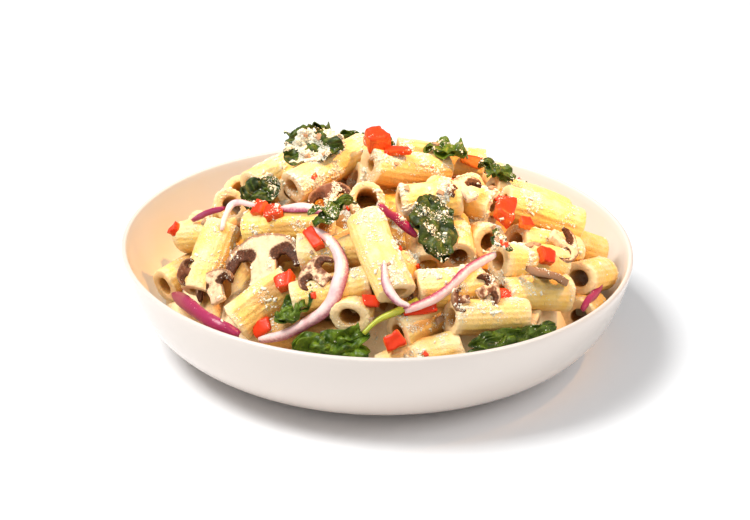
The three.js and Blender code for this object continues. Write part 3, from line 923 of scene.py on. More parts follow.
def pasta_finish(pasta):
    """Cooked pasta, creamy on top and golden below, partly sauce settling on top and partly painted
    light and shade; painted shade also in the grooves, the holes, the gaps and deep in the heap.
    """
    finish = Finish(
        "pasta",
        Specular_IOR_Level=0.45,
        Subsurface_Weight=0.15,
        Subsurface_Radius=(1.0, 0.5, 0.2),
        Subsurface_Scale=0.002,
    )
    patches = finish.step(finish.noise(0.007, detail=5, rough=0.62), 0.4, 0.62)
    upward = finish.step(finish.held("upward"), 0.1, 0.9)
    # Painted light and shade, partly real sauce: tubes turn cream where they face up and gold where they
    # face down, as sauce settles on top and as light falls from above.
    tint = finish.mix(finish.held("shade") * (0.35 + upward * 0.65), pasta.gold, pasta.cream)
    tint = finish.mix(patches * (0.25 + upward * 0.65), tint, pasta.sauce)
    # Painted shade in the grooves between the ridges.
    tint = finish.mix(finish.held("groove") * (1 - patches * 0.6) * 0.12, tint, pasta.gold)
    specks = finish.step(finish.noise(0.0016, detail=3, rough=0.7), 0.56, 0.7)
    tint = finish.mix(specks * 0.3, tint, pasta.gold)
    grains = finish.step(finish.noise(0.0008, detail=1), 0.58, 0.7)
    tint = finish.mix(grains * (0.25 + upward * 0.45), tint, pasta.sauce)
    # Painted shade where nearby food blocks the light, darker still where it blocks most.
    pooled_shade = finish.step(finish.held("shelter"), 0.2, 0.85)
    tint = finish.mix(pooled_shade * 0.48, tint, pasta.pool)
    tint = finish.mix(finish.step(finish.held("shelter"), 0.7, 1.0) * 0.7, tint, pasta.depth)
    # Painted shade deep under the heap's top.
    tint = finish.mix(finish.held("deep"), tint, pasta.depth)
    tint = finish.mix(finish.held("cut") * 0.75, tint, pasta.sauce)
    # Painted shade inside the tubes' holes.
    finish.feed("Base Color", finish.mix(finish.held("hollow"), tint, pasta.depth))
    finish.feed("Roughness", 0.55 - patches * 0.17)
    finish.bump(finish.noise(0.0015, detail=4, rough=0.6) * 1.4 + grains * 0.5 + patches * 0.5, 0.0004)
    return finish.material


def core_finish(pasta):
    """The sauce and broken pasta deep in the heap, painted dark as shade but for the sauce's own pale
    colour near the wall.
    """
    finish = Finish("sauce", Roughness=0.45, Subsurface_Weight=0.1, Subsurface_Scale=0.003)
    lumps = finish.noise(0.006, detail=4, rough=0.6)
    # Painted shade: the dark inside the heap, in lumps.
    deep = finish.mix(finish.step(lumps, 0.35, 0.7), pasta.depth, pasta.pool)
    finish.feed("Base Color", finish.mix(finish.held("edge"), deep, pasta.sauce))
    finish.bump(lumps, 0.0008)
    return finish.material


def tomato_finish(toppings):
    """Cooked, diced tomato: translucent flesh, and skin on one side."""
    finish = Finish(
        "tomato",
        Roughness=0.4,
        Specular_IOR_Level=0.22,
        Coat_Weight=0.04,
        Coat_Roughness=0.2,
        Subsurface_Weight=0.35,
        Subsurface_Radius=(1.0, 0.25, 0.08),
        Subsurface_Scale=0.002,
    )
    pale = finish.step(finish.noise(0.0035, detail=4, rough=0.6), 0.45, 0.7)
    tint = finish.mix(finish.held("shade"), toppings.tomato_red, toppings.tomato_orange)
    flesh = finish.mix(pale * 0.6, tint, toppings.tomato_orange)
    finish.feed("Base Color", finish.mix(finish.held("skin"), flesh, toppings.tomato_red))
    finish.bump(finish.noise(0.0011, detail=4, rough=0.6) * (1.2 - finish.held("skin")), 0.0005)
    return finish.material


def onion_finish(toppings):
    """Cooked red onion: pale flesh, a magenta skin, and fine lines along the strip."""
    finish = Finish(
        "onion",
        Roughness=0.32,
        Specular_IOR_Level=0.4,
        Coat_Weight=0.1,
        Coat_Roughness=0.2,
        Subsurface_Weight=0.2,
        Subsurface_Radius=(1.0, 0.4, 0.5),
        Subsurface_Scale=0.002,
    )
    across = finish.held("across")
    lines = finish.noise(0.0012, detail=2)
    edge = finish.step(across + (lines - 0.5) * 0.35, 0.4, 0.95)
    patches = finish.step(finish.noise(0.006), 0.4, 0.75) * 0.5
    flesh = finish.mix(patches, toppings.onion_flesh, toppings.onion_blush)
    finish.feed("Base Color", finish.mix(edge, flesh, toppings.onion_skin))
    finish.bump(lines, 0.00012)
    return finish.material


def leaf_finish(toppings):
    """Wilted spinach, wet, from dark to fresh green, with lighter veins."""
    finish = Finish(
        "spinach", Roughness=0.36, Specular_IOR_Level=0.25, Coat_Weight=0.08, Coat_Roughness=0.2
    )
    patches = finish.step(finish.noise(0.005, detail=4, rough=0.6), 0.35, 0.7)
    fresh = finish.held("fresh")
    dark = finish.mix(fresh, toppings.leaf_dark, toppings.leaf_fresh)
    light = finish.mix(fresh, toppings.leaf_mid, toppings.leaf_light)
    tint = finish.mix(patches, dark, light)
    vein = finish.held("vein")
    finish.feed("Base Color", finish.mix(vein * (0.35 + fresh * 0.5), tint, toppings.leaf_light))
    finish.bump(finish.noise(0.0016, detail=3) + vein * 0.7, 0.0006)
    return finish.material


def stem_finish(toppings):
    """A bright leaf stem with fine ribs."""
    finish = Finish("leaf_stem", Roughness=0.3, Subsurface_Weight=0.15, Subsurface_Scale=0.002)
    green = toppings.stem_green
    finish.feed("Base Color", finish.mix(finish.noise(0.004), green, darker(green, 0.6)))
    finish.bump(finish.noise(0.001), 0.0001)
    return finish.material


def mushroom_finish(toppings):
    """A cooked slice: beige flesh, dark gills and brown skin."""
    finish = Finish(
        "mushroom",
        Roughness=0.5,
        Specular_IOR_Level=0.16,
        Subsurface_Weight=0.12,
        Subsurface_Scale=0.0015,
    )
    mottle = finish.noise(0.003, detail=4, rough=0.6)
    dark = finish.held("dark")
    brown = finish.step(mottle, 0.4, 0.7) * 0.35
    flesh = finish.mix(brown, toppings.mushroom_flesh, toppings.mushroom_skin)
    darkened = finish.step(dark + (mottle - 0.5) * 1.6, 0.3, 0.8)
    flesh = finish.mix(darkened, flesh, toppings.mushroom_dark)
    rough_edge = (finish.noise(0.0016, detail=4, rough=0.65) - 0.5) * 1.2
    skinned = finish.step(finish.held("skin") + rough_edge, 0.2, 0.8)
    skin = finish.mix(skinned, flesh, toppings.mushroom_skin)
    gills = finish.step(finish.held("gills") + rough_edge, 0.3, 0.85)
    plates = finish.step(finish.noise(0.0008, detail=2), 0.42, 0.66)
    gill_tone = finish.mix(plates * 0.7, toppings.mushroom_gills, toppings.mushroom_dark)
    finish.feed("Base Color", finish.mix(gills, skin, gill_tone))
    finish.bump(finish.noise(0.0009, detail=3), 0.0002)
    return finish.material


def cheese_finish(cheese):
    """Dry grated cheese."""
    finish = Finish(
        "cheese",
        Roughness=0.6,
        Subsurface_Weight=0.4,
        Subsurface_Radius=(1.0, 0.9, 0.7),
        Subsurface_Scale=0.001,
    )
    tone = finish.mix(finish.noise(0.004), cheese.white, darker(cheese.white, 0.93))
    finish.feed("Base Color", tone)
    return finish.material


def floor_finish(stage):
    """A plain pale floor, a little dusty so that it isn't one flat tone."""
    finish = Finish("floor", Roughness=0.7, Specular_IOR_Level=0.2)
    tone = finish.mix(finish.noise(0.4), stage.floor, darker(stage.floor, 0.99))
    finish.feed("Base Color", tone)
    return finish.material


# The bowl


BOWL_SIDES = 160
BOWL_STEPS = 36
LIP_STEPS = 12

# The foot ring's section from the inside out: steps in millimetres from its inner edge and then
# from its outer edge, each with its height as a share of the ring's.
FOOT_INNER = [(-1.5, 1), (-0.4, 0.7), (0, 0.2), (0.6, 0)]
FOOT_OUTER = [(-1.8, 0), (-0.9, 0.2), (-0.5, 0.75)]


def foot_profile(bowl):
    """The section of the underside and the foot ring, from the axis outwards."""
    low, outer = bowl.foot_height, bowl.foot_radius
    inner = outer - bowl.foot_width
    ring = [(inner + step * MM, low * high) for step, high in FOOT_INNER]
    ring += [(outer + step * MM, low * high) for step, high in FOOT_OUTER]
    return [(0, low)] + ring


def bowl_shape(bowl):
    """The bowl turned on its axis, and which of its points are inside it."""
    outside, inside = wall_profile(bowl, BOWL_STEPS)
    half = bowl.lip / 2
    middle_r, middle_z = bowl.rim_radius - half, bowl.rim_height - half
    lip = []
    for i in range(1, LIP_STEPS - 1):
        angle = math.pi * i / LIP_STEPS
        lip.append((middle_r + math.cos(angle) * half, middle_z + math.sin(angle) * half))
    profile = foot_profile(bowl) + [tuple(p) for p in outside] + lip
    profile += [tuple(p) for p in inside] + [(0, bowl.floor_height)]
    bm = turned(profile, BOWL_SIDES, closed=False)
    middle = inner_profile(bowl, -bowl.lip / MM / 2)
    within = []
    for vert in bm.verts:
        most = radius_at(middle, vert.co.z / MM, bowl.rim_height / MM) * MM
        above = vert.co.z > bowl.floor_height * 0.9
        within.append(1.0 if above and math.hypot(vert.co.x, vert.co.y) < most else 0.0)
    return bm, within


# The rigatoni

# How far under the heap's smooth top the tubes start to darken with painted shade, and over what depth,
# in millimetres.
DEEP_FROM = 5
DEEP_OVER = 15

# Their cut ends: how far the edge is rounded in millimetres, and how far its corner is cut back.
CUT_EDGE = 0.9
CUT_CORNER = 0.25
HOLE_STEPS = 3

# How much one differs from the next: how oval, how far bent and the unevenness of its ends in
# millimetres, how slanted its ends, and how far its ridges wind.
TUBE_OVAL = (0.02, 0.1)
TUBE_BEND = 1.4
TUBE_ENDS = 0.5
TUBE_ENDS_SIZE = 6
TUBE_SLANT = 0.12
TUBE_TWIST = 0.4

# The sauce on them: the width of its lumps in millimetres, their height, and the height of bare pasta.
LUMP_SIZE = 8
LUMP_HEIGHT = 1.3
LUMP_BARE = 0.4

def tube_profile(size, radius, hole, steps, edge):
    """A closed section through one wall of a tube, with softened ends."""
    half = size / 2
    cut = edge * CUT_CORNER
    corner = [(radius - cut, half - cut), (radius - edge, half)]
    corner += [(hole + edge, half), (hole + cut, half - cut)]
    outer = [(radius, (half - edge) * (2 * i / steps - 1)) for i in range(steps + 1)]
    inner = [(hole, (half - edge) * (1 - 2 * i / HOLE_STEPS)) for i in range(HOLE_STEPS + 1)]
    return outer + corner + inner + [(r, -z) for r, z in reversed(corner)]


def tube_shape(tube, pasta, draw, sides, steps):
    """One of the rigatoni along Z, and how far each point is in its hole, a groove or a cut end."""
    size, radius = tube.size * MM, pasta.tube_radius
    hole = pasta.hole_radius * tube.hole
    bm = turned(tube_profile(size, radius, hole, steps, CUT_EDGE * MM), sides)
    oval, bend = draw.uniform(*TUBE_OVAL), draw.uniform(-TUBE_BEND, TUBE_BEND) * MM
    slant, twist = draw.uniform(-TUBE_SLANT, TUBE_SLANT), draw.uniform(-TUBE_TWIST, TUBE_TWIST)
    origin = Vector([draw.uniform(0, 9) for _ in range(3)])
    hollow, groove, cut = [], [], []
    for vert in bm.verts:
        co = vert.co
        along = 2 * co.z / size
        r, angle = math.hypot(co.x, co.y), math.atan2(co.y, co.x)
        out = clamp((r - hole) / (radius - hole))
        # Painted shade inside the hole, darkest half way along it.
        hollow.append((1 - out) ** 2 * (0.45 + 0.55 * (1 - abs(along) ** 6)))
        wave = math.cos(pasta.ridges * angle + twist * along)
        groove.append((1 - wave) / 2 * out**4)
        cut.append(1.0 if abs(along) > 1 - 2 * CUT_EDGE / size * MM and out > 0 else 0.0)
        ridge = pasta.ridge_depth / 2 * wave * out**4
        lumps = LUMP_HEIGHT * noise.noise(co / (LUMP_SIZE * MM) + origin)
        r += ridge + pasta.sauce_lumps * (lumps - LUMP_BARE) * out
        co.x = math.cos(angle) * r * (1 + oval) + bend * (along**2 - 0.4)
        co.y = math.sin(angle) * r * (1 - oval)
        uneven = TUBE_ENDS * MM * noise.noise(co / (TUBE_ENDS_SIZE * MM) + origin)
        co.z += (slant * co.x + uneven) * along
    return bm, {"hollow": hollow, "groove": groove, "cut": cut}


def tube_matrix(tube, draw):
    """From a tube along Z about the origin to its place in the bowl."""
    a, b = (Vector(end) * MM for end in tube.ends)
    turn = (b - a).to_track_quat("Z", "Y").to_matrix().to_4x4()
    return Matrix.Translation((a + b) / 2) @ turn @ Matrix.Rotation(draw.uniform(0, math.tau), 4, "Z")


def depth_share(place):
    """How far a place lies in the dark of the heap: 0 at its top, 1 well under it."""
    depth = heap_height(place.x / MM, place.y / MM) - place.z / MM
    return clamp((depth - DEEP_FROM) / DEEP_OVER)


def add_tubes(name, tubes, pasta, finish, seed, fineness, nodes=()):
    """Makes one layer of rigatoni a single piece."""
    draw = random.Random(seed)
    batch = Batch("shade", "hollow", "groove", "cut", "upward", "deep")
    for tube in tubes:
        shape, held = tube_shape(tube, pasta, draw, *fineness)
        matrix = tube_matrix(tube, draw)
        shape.normal_update()
        turn = matrix.to_3x3()
        # How far each point faces up, for the sauce on top and the painted light from above.
        upward = [(turn @ vert.normal).z for vert in shape.verts]
        # How far under the heap's top each point lies, for painted shade.
        deep = [depth_share(matrix @ vert.co) for vert in shape.verts]
        drawn = draw.uniform(0.15, 1)
        shade = drawn if tube.pale is None else tube.pale
        batch.add(shape, matrix, shade=shade, upward=upward, deep=deep, **held)
    batch.piece(name, finish, "pasta", nodes)


# The sauce's own pale colour along the wall, with painted shade further in: the radius where the pale
# starts, and how wide it blends in, in millimetres.
EDGE_FROM = 72
EDGE_OVER = 14

# The sauce's core: its cuts each way, its share of the heap's radius, how far its underside draws
# in, its height above the bowl's floor, and its large and small lumps with their size.
CORE_CUTS = 90
CORE_REACH = 0.97
CORE_FOOT = 0.45
CORE_FLOOR = 2
CORE_LARGE, CORE_LARGE_SIZE = 4, 14
CORE_SMALL, CORE_SMALL_SIZE = 2, 5


def core_shape(bowl):
    """The lumpy middle of the heap, under the tubes, and how near each point is to the wall."""
    bm = bmesh.new()
    bmesh.ops.create_grid(bm, x_segments=CORE_CUTS, y_segments=CORE_CUTS, size=1)
    wall = inner_profile(bowl, WALL_CLEARANCE)
    for vert in bm.verts:
        square = max(abs(vert.co.x), abs(vert.co.y))
        if square:
            vert.co *= square / vert.co.length
        x = vert.co.x * HEAP_R * CORE_REACH + HEAP_X * (1 - square)
        y = vert.co.y * HEAP_R * CORE_REACH
        large = CORE_LARGE * noise.noise(Vector((x, y, 0)) / CORE_LARGE_SIZE)
        small = CORE_SMALL * noise.noise(Vector((x, y, 9)) / CORE_SMALL_SIZE)
        z = heap_height(x, y) - CORE_SINK + (large + small)
        z = max(z, bowl.floor_height / MM + CORE_FLOOR)
        most = radius_at(wall, z, bowl.rim_height / MM)
        r = math.hypot(x, y)
        if r > most:
            x, y = x * most / r, y * most / r
        vert.co = Vector((x, y, z)) * MM
    edge = [e for e in bm.edges if e.is_boundary]
    low = bowl.floor_height + WALL_CLEARANCE * MM
    for vert in verts_in(bmesh.ops.extrude_edge_only(bm, edges=edge)["geom"]):
        vert.co = Vector((vert.co.x * CORE_FOOT, vert.co.y * CORE_FOOT, low))
    bmesh.ops.holes_fill(bm, edges=[e for e in bm.edges if e.is_boundary])
    bmesh.ops.recalc_face_normals(bm, faces=bm.faces)
    away = [math.hypot(vert.co.x, vert.co.y) / MM for vert in bm.verts]
    return bm, [clamp((r - EDGE_FROM) / EDGE_OVER) for r in away]


# The vegetables


def crumple(bm, depth, size, seed):
    """Moves every point of a shape a little, more or less together over a size."""
    origin = Vector((seed * 1.7, seed * 0.9, seed * 2.3))
    for vert in bm.verts:
        vert.co += noise.noise_vector(vert.co / size + origin) * depth


# Every crumpled shape has its own part of one noise, drawn from this many.
CRUMPLES = 50

# A dice: the cuts in each of its edges, how much of it is skin, and the most that it is wedged.
DICE_CUTS = 6
SKIN_FROM = 0.3
SKIN_SHARP = 8
DICE_WEDGE = 0.55
DICE_SLOPE = 0.6

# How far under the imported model's top a dice stays, in millimetres.
TOP_CLEAR = 0.3


def dice_shape(size, draw):
    """A soft dice of tomato, and which of its points are skin."""
    bm = bmesh.new()
    bmesh.ops.create_cube(bm, size=1)
    bmesh.ops.subdivide_edges(bm, edges=bm.edges, cuts=DICE_CUTS, use_grid_fill=True)
    for _ in range(2):
        soften(bm, 0.5)
    skin = [clamp((vert.co.z - SKIN_FROM) * SKIN_SHARP) for vert in bm.verts]
    wedge = draw.uniform(-DICE_WEDGE, DICE_WEDGE)
    slope = draw.uniform(-DICE_SLOPE, DICE_SLOPE)
    for vert in bm.verts:
        vert.co.x *= 1 + wedge * vert.co.y
        vert.co.z *= 1 + slope * vert.co.x
        vert.co = Vector([value * width * MM for value, width in zip(vert.co, size)])
    crumple(bm, 0.14 * min(size) * MM, 0.5 * max(size) * MM, draw.uniform(0, CRUMPLES))
    crumple(bm, 0.3 * MM, 1.6 * MM, draw.uniform(0, CRUMPLES))
    return bm, skin


def lowered(shape, matrix):
    """The same place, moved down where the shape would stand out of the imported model's top."""
    highest = max((matrix @ vert.co).z for vert in shape.verts)
    return Matrix.Translation((0, 0, min(cad_high.z - TOP_CLEAR * MM - highest, 0))) @ matrix


# A slice of mushroom. Its outline and its gills are in shares of its width.
MUSHROOM_THICK = 3.2
STEM_SIDE = [(0.13, -0.34), (0.16, -0.31), (0.15, -0.16), (0.165, 0.02), (0.22, 0.07), (0.31, 0.06)]
CAP_EDGE = [(0.37, -0.02), (0.41, -0.1), (0.455, -0.11), (0.49, -0.06)]
CAP_HALF, CAP_HEIGHT, CAP_STEPS = 0.5, 0.37, 24
GILLS = [Vector((0.17, 0.1)), Vector((0.3, 0.12)), Vector((0.4, -0.02)), Vector((0.45, -0.12))]
GILLS_REACH, GILLS_BLEND = 0.115, 0.04

# How far a slice lies off its place, in shares of its width; its rounded rim in millimetres, and
# how sharp an edge is rounded; the cuts through it each way, on each side and how far apart in
# metres; and how far the gills sink.
SLICE_OFF = 0.02
SLICE_ROUND = 0.55
SLICE_SHARP = 1.2
SLICE_CUTS = 18
SLICE_CUT_GAP = 0.0011
GILLS_SINK = 0.35

# A slice's curl, and its waves' height and length in millimetres.
SLICE_CURL = (-0.006, 0.012)
SLICE_WAVE, SLICE_WAVE_LENGTH = 0.35, 2.4


def mushroom_outline(width):
    """The outline of a mushroom cut lengthwise, in metres."""
    right = STEM_SIDE + CAP_EDGE
    turns = [math.pi * i / CAP_STEPS for i in range(CAP_STEPS + 1)]
    cap = [(CAP_HALF * math.cos(turn), CAP_HEIGHT * math.sin(turn)) for turn in turns]
    left = [(-x, y) for x, y in reversed(right)]
    return [Vector((x, y, 0)) * width for x, y in right + cap + left]


def gill_share(place):
    """How far a place on a slice, in widths, belongs to the gills."""
    at = Vector((abs(place.x), place.y))
    gap = 1.0
    for a, b in zip(GILLS, GILLS[1:]):
        along = clamp((at - a).dot(b - a) / (b - a).length_squared)
        gap = min(gap, (at - a - (b - a) * along).length)
    return clamp((GILLS_REACH - gap) / GILLS_BLEND)


def on_rim(edge):
    """Whether an edge of a slice runs round one of its two faces."""
    a, b = edge.verts
    return abs(a.co.z - b.co.z) < TINY and edge.calc_face_angle() > SLICE_SHARP


def slice_shape(width, draw):
    """A cooked slice of mushroom, curled, and how far each point is gills or skin."""
    wide = width * MM
    bm = bmesh.new()
    face = bm.faces.new([bm.verts.new(p) for p in mushroom_outline(wide)])
    top = verts_in(bmesh.ops.extrude_face_region(bm, geom=[face])["geom"])
    bmesh.ops.translate(bm, verts=top, vec=(0, 0, MUSHROOM_THICK * MM))
    middle = (0, -SLICE_OFF * wide, -MUSHROOM_THICK * MM / 2)
    bmesh.ops.translate(bm, verts=bm.verts, vec=middle)
    bmesh.ops.recalc_face_normals(bm, faces=bm.faces)
    bmesh.ops.bevel(
        bm,
        geom=[edge for edge in bm.edges if on_rim(edge)],
        offset=SLICE_ROUND * MM,
        offset_type="OFFSET",
        affect="EDGES",
        segments=2,
        profile=0.5,
        material=-1,
    )
    for axis in (Vector((1, 0, 0)), Vector((0, 1, 0))):
        for i in range(-SLICE_CUTS, SLICE_CUTS + 1):
            parts = bm.verts[:] + bm.edges[:] + bm.faces[:]
            cut = axis * (i * SLICE_CUT_GAP)
            bmesh.ops.bisect_plane(bm, geom=parts, dist=TINY, plane_co=cut, plane_no=axis)
    bmesh.ops.triangulate(bm, faces=bm.faces)
    gills, skin = [], []
    for vert in bm.verts:
        at = vert.co / wide + Vector((0, SLICE_OFF, 0))
        from_middle = math.hypot(at.x / CAP_HALF, at.y / CAP_HEIGHT) if at.y > -0.05 else 0
        skin.append(clamp((from_middle - 0.86) / 0.1))
        gills.append(gill_share(at))
        vert.co.z *= 1 - GILLS_SINK * gills[-1]
    curl, phase = draw.uniform(*SLICE_CURL) / wide * 10, draw.uniform(0, 6)
    for vert in bm.verts:
        vert.co.z += curl * (vert.co.x**2 + 0.4 * vert.co.y**2)
        vert.co.z += SLICE_WAVE * MM * math.sin(vert.co.x / (SLICE_WAVE_LENGTH * MM) + phase)
    crumple(bm, 0.5 * MM, 5 * MM, draw.uniform(0, CRUMPLES))
    crumple(bm, 0.2 * MM, 1.4 * MM, draw.uniform(0, CRUMPLES))
    return bm, gills, skin


def smooth_path(points, steps):
    """Places along a smooth curve through points, in metres."""
    ends = [Vector(p) * MM for p in points]
    padded = [2 * ends[0] - ends[1]] + ends + [2 * ends[-1] - ends[-2]]
    path = []
    for before, a, b, after in zip(padded, padded[1:], padded[2:], padded[3:]):
        part = interpolate_bezier(a, a + (b - before) / 6, b - (after - a) / 6, b, steps + 1)
        path += part[:-1]
    return path + part[-1:]


def swept(path, around, section):
    """A closed strip along a path, and the layer that keeps where each of its points lies.

    section gives the step off the path, across and over it, at a share along it and an angle.
    """
    bm = bmesh.new()
    bmesh.ops.create_grid(bm, x_segments=len(path) - 1, y_segments=around, size=0.5)
    shares, angles = [], []
    for vert in bm.verts:
        along = clamp(vert.co.x + 0.5)
        angle = (vert.co.y + 0.5) * math.tau
        i = round(along * (len(path) - 1))
        ahead = (path[min(i + 1, len(path) - 1)] - path[max(i - 1, 0)]).normalized()
        side = ahead.cross(slope_normal(path[i].x / MM, path[i].y / MM)).normalized()
        across, over = section(along, angle)
        vert.co = path[i] + side * across + side.cross(ahead) * over
        shares.append(along)
        angles.append(angle)
    marks = bm.verts.layers.float_vector.new("marks")
    for vert, along, angle in zip(bm.verts, shares, angles):
        vert[marks] = Vector((along, math.cos(angle), math.sin(angle)))
    bmesh.ops.remove_doubles(bm, verts=bm.verts, dist=TINY)
    bmesh.ops.holes_fill(bm, edges=[e for e in bm.edges if e.is_boundary])
    bmesh.ops.recalc_face_normals(bm, faces=bm.faces)
    return bm, marks


# Strips and stems: steps between two of their points, and points around them.
PATH_STEPS = 8
ONION_AROUND = 14
STEM_AROUND = 16

# A strip of onion: the most that it is lifted out of the pasta in millimetres, how often its path is
# evened out, how narrow its ends are, how much wider it is than its node, and its hollow inner side.
ONION_LIFT = 4
ONION_EVEN = 3
ONION_TAIL = (0.35, 0.6)
ONION_WIDER = 1.1
ONION_WOBBLE = 0.08
ONION_HOLLOW = 0.35


def evened(path):
    """A path with each place moved towards its neighbours, but for its ends."""
    inner = [(a + 2 * b + c) / 4 for a, b, c in zip(path, path[1:], path[2:])]
    return [path[0]] + inner + [path[-1]]


def onion_shape(row, surface, draw):
    """A strip of onion laid along its points, and how near each of its points is to the skin."""
    width, thickness, redness, side, points = row
    path = smooth_path(points, PATH_STEPS)
    for place in path:
        top = top_of(surface, place.x, place.y)
        if top is not None and top - place.z < ONION_LIFT * MM:
            place.z = max(place.z, top + thickness * MM * 0.3)
    for _ in range(ONION_EVEN):
        path = evened(path)
    tail, wobble = draw.uniform(*ONION_TAIL), draw.uniform(0, 6)

    def section(along, angle):
        taper = tail + (1 - tail) * math.sqrt(abs(math.sin(math.pi * along)))
        uneven = 1 + ONION_WOBBLE * math.sin(9 * along + wobble)
        wide = ONION_WIDER * width * MM / 2 * taper * uneven
        across, over = math.cos(angle) * wide, math.sin(angle) * thickness * MM / 2 * taper
        return across, over + ONION_HOLLOW * thickness * MM * (1 - math.cos(angle) ** 2)

    bm, marks = swept(path, ONION_AROUND, section)
    across = [(1 + side * vert[marks].y) / 2 + redness - 0.5 for vert in bm.verts]
    bm.verts.layers.float_vector.remove(marks)
    crumple(bm, 0.3 * MM, 4 * MM, draw.uniform(0, CRUMPLES))
    return bm, across


def stem_shape(points, size):
    """A round leaf stem along its points."""
    path = smooth_path(points, PATH_STEPS)

    def section(along, angle):
        wide = size * MM / 2 * (0.6 + 0.4 * math.sin(math.pi * min(along + 0.25, 1)))
        wide *= 1 + 0.08 * math.cos(5 * angle)
        return math.cos(angle) * wide, math.sin(angle) * wide

    return swept(path, STEM_AROUND, section)[0]


def thicken(bm, thickness, values):
    """Gives a sheet a thickness, and returns the values of its points with those of the new ones."""
    layer = bm.verts.layers.float.new("value")
    for vert, value in zip(bm.verts, values):
        vert[layer] = value
    raised = bmesh.ops.extrude_face_region(bm, geom=bm.faces[:])["geom"]
    bm.normal_update()
    for vert in verts_in(raised):
        vert.co += vert.normal * thickness
    bmesh.ops.recalc_face_normals(bm, faces=bm.faces)
    held = [vert[layer] for vert in bm.verts]
    bm.verts.layers.float.remove(layer)
    return held


# A leaf: its cuts each way, its thickness, its clearance over the food, the most that it is lifted
# and its clearance from the wall, in millimetres.
LEAF_CUTS = (36, 24)
LEAF_THICK = 0.4
LEAF_CLEAR = 0.7
LEAF_LIFT = 3
LEAF_WALL = 1.5
LEAF_TOP = 1

# Its ruffles: their height for each unit of a row's ruffle, and their width in millimetres.
RUFFLE_WIDE, RUFFLE_WIDE_SIZE = 1.7, 4.5
RUFFLE_FINE, RUFFLE_FINE_SIZE = 1.3, 2.1
RUFFLE_EDGE = 1.6

# Its second layer: how much higher it lies, and how much it is turned and leant, in degrees.
LAYER_RISE = 1.2
LAYER_TURN = 35
LAYER_LEAN = 12


def keep_in_bowl(bm, wall):
    """Moves the points of a shape that would be in the wall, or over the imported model, back inside."""
    rim_height = settings().bowl.rim_height / MM
    for vert in bm.verts:
        vert.co.z = min(vert.co.z, cad_high.z - LEAF_TOP * MM)
        r = math.hypot(vert.co.x, vert.co.y)
        most = radius_at(wall, vert.co.z / MM, rim_height) * MM
        if r > most:
            vert.co.x *= most / r
            vert.co.y *= most / r


def leaf_shape(row, surface, draw, part):
    """One layer of a wilted leaf laid on the food, and how near each point is to a vein."""
    x, y, z, spin, lean, size, width, ruffle = row
    bm = bmesh.new()
    bmesh.ops.create_grid(bm, x_segments=LEAF_CUTS[0], y_segments=LEAF_CUTS[1], size=0.5)
    phase, fold = draw.uniform(0, 6), draw.uniform(0.0, 0.2)
    veins = []
    origin = Vector((draw.uniform(0, 30), draw.uniform(0, 30), 0))
    for vert in bm.verts:
        v, u = clamp(vert.co.x + 0.5), vert.co.y * 2
        side_vein = abs(math.sin((v * 9 - abs(u) * 2.2) * 1.9)) ** 10 * abs(u) ** 0.3
        veins.append(max(max(0, 1 - abs(u) * 9), side_vein * 0.7))
        belly = abs(math.sin(math.pi * v**0.8)) ** 0.6
        half = width / 2 * (0.12 + 0.88 * belly) * (1 + 0.12 * math.sin(17 * v + phase))
        px, py = (v - 0.5) * size, u * half
        wide = noise.noise(Vector((px, py, 0)) / RUFFLE_WIDE_SIZE + origin)
        fine = noise.noise(Vector((px, py, 7)) / RUFFLE_FINE_SIZE + origin)
        lift = RUFFLE_WIDE * ruffle * wide + RUFFLE_FINE * ruffle * fine
        lift += fold * abs(py) + abs(u) ** 3 * ruffle * math.sin(11 * v + phase + u)
        px += RUFFLE_EDGE * noise.noise(Vector((px, py, 20)) / 5 + origin)
        py += RUFFLE_EDGE * noise.noise(Vector((px, py, 40)) / 5 + origin)
        vert.co = Vector((px, py, lift)) * MM
    turn = spin + (draw.uniform(-LAYER_TURN, LAYER_TURN) if part else 0)
    lean += part * draw.uniform(-LAYER_LEAN, LAYER_LEAN)
    bm.transform(slope_frame(x, y, z + part * LAYER_RISE, turn, lean))
    wall = inner_profile(settings().bowl, LEAF_WALL)
    for factor in (0.5, 0.5, 0):
        for vert in bm.verts:
            top = top_of(surface, vert.co.x, vert.co.y)
            if top is not None:
                clear = top + LEAF_CLEAR * MM
                if vert.co.z < clear < vert.co.z + LEAF_LIFT * MM:
                    vert.co.z = clear
        keep_in_bowl(bm, wall)
        soften(bm, factor)
    return bm, thicken(bm, LEAF_THICK * MM, veins)


# The cheese


class Stamp:
    """A small shape that is pressed many times into a batch."""

    def __init__(self, shape):
        self.shape = shape
        self.places = [vert.co.copy() for vert in shape.verts]

    def press(self, batch, matrix):
        for vert, place in zip(self.shape.verts, self.places):
            vert.co = matrix @ place
        self.shape.to_mesh(batch.step)
        batch.bm.from_mesh(batch.step)


def grain_shape(seed):
    """A tiny grain with four faces."""
    bm = bmesh.new()
    bmesh.ops.create_cone(bm, cap_ends=True, segments=3, radius1=0.7, radius2=0, depth=1)
    crumple(bm, 0.3, 0.7, seed)
    return bm


def crumb_shape(seed):
    """A rough crumb with a few faces."""
    bm = bmesh.new()
    bmesh.ops.create_cube(bm, size=1)
    crumple(bm, 0.45, 0.7, seed)
    return bm


# Where the cheese lies thickest: x and y in millimetres, the radius, and its share of the cheese.
CHEESE_PATCHES = [
    (-32, -2, 17, 0.19),
    (22, -66, 13, 0.08),
    (-52, -58, 13, 0.04),
    (50, -42, 26, 0.18),
    (32, -80, 22, 0.12),
    (0, -40, 40, 0.1),
    (5, 0, 60, 0.14),
]

# The size of its clumps in metres, how strong the coarse and the fine ones are, and how much of it
# lies loose between them.
CLUMP = 8 * MM
CLUMP_COARSE, CLUMP_FINE = 1.7, 0.6
LOOSE = 0.1

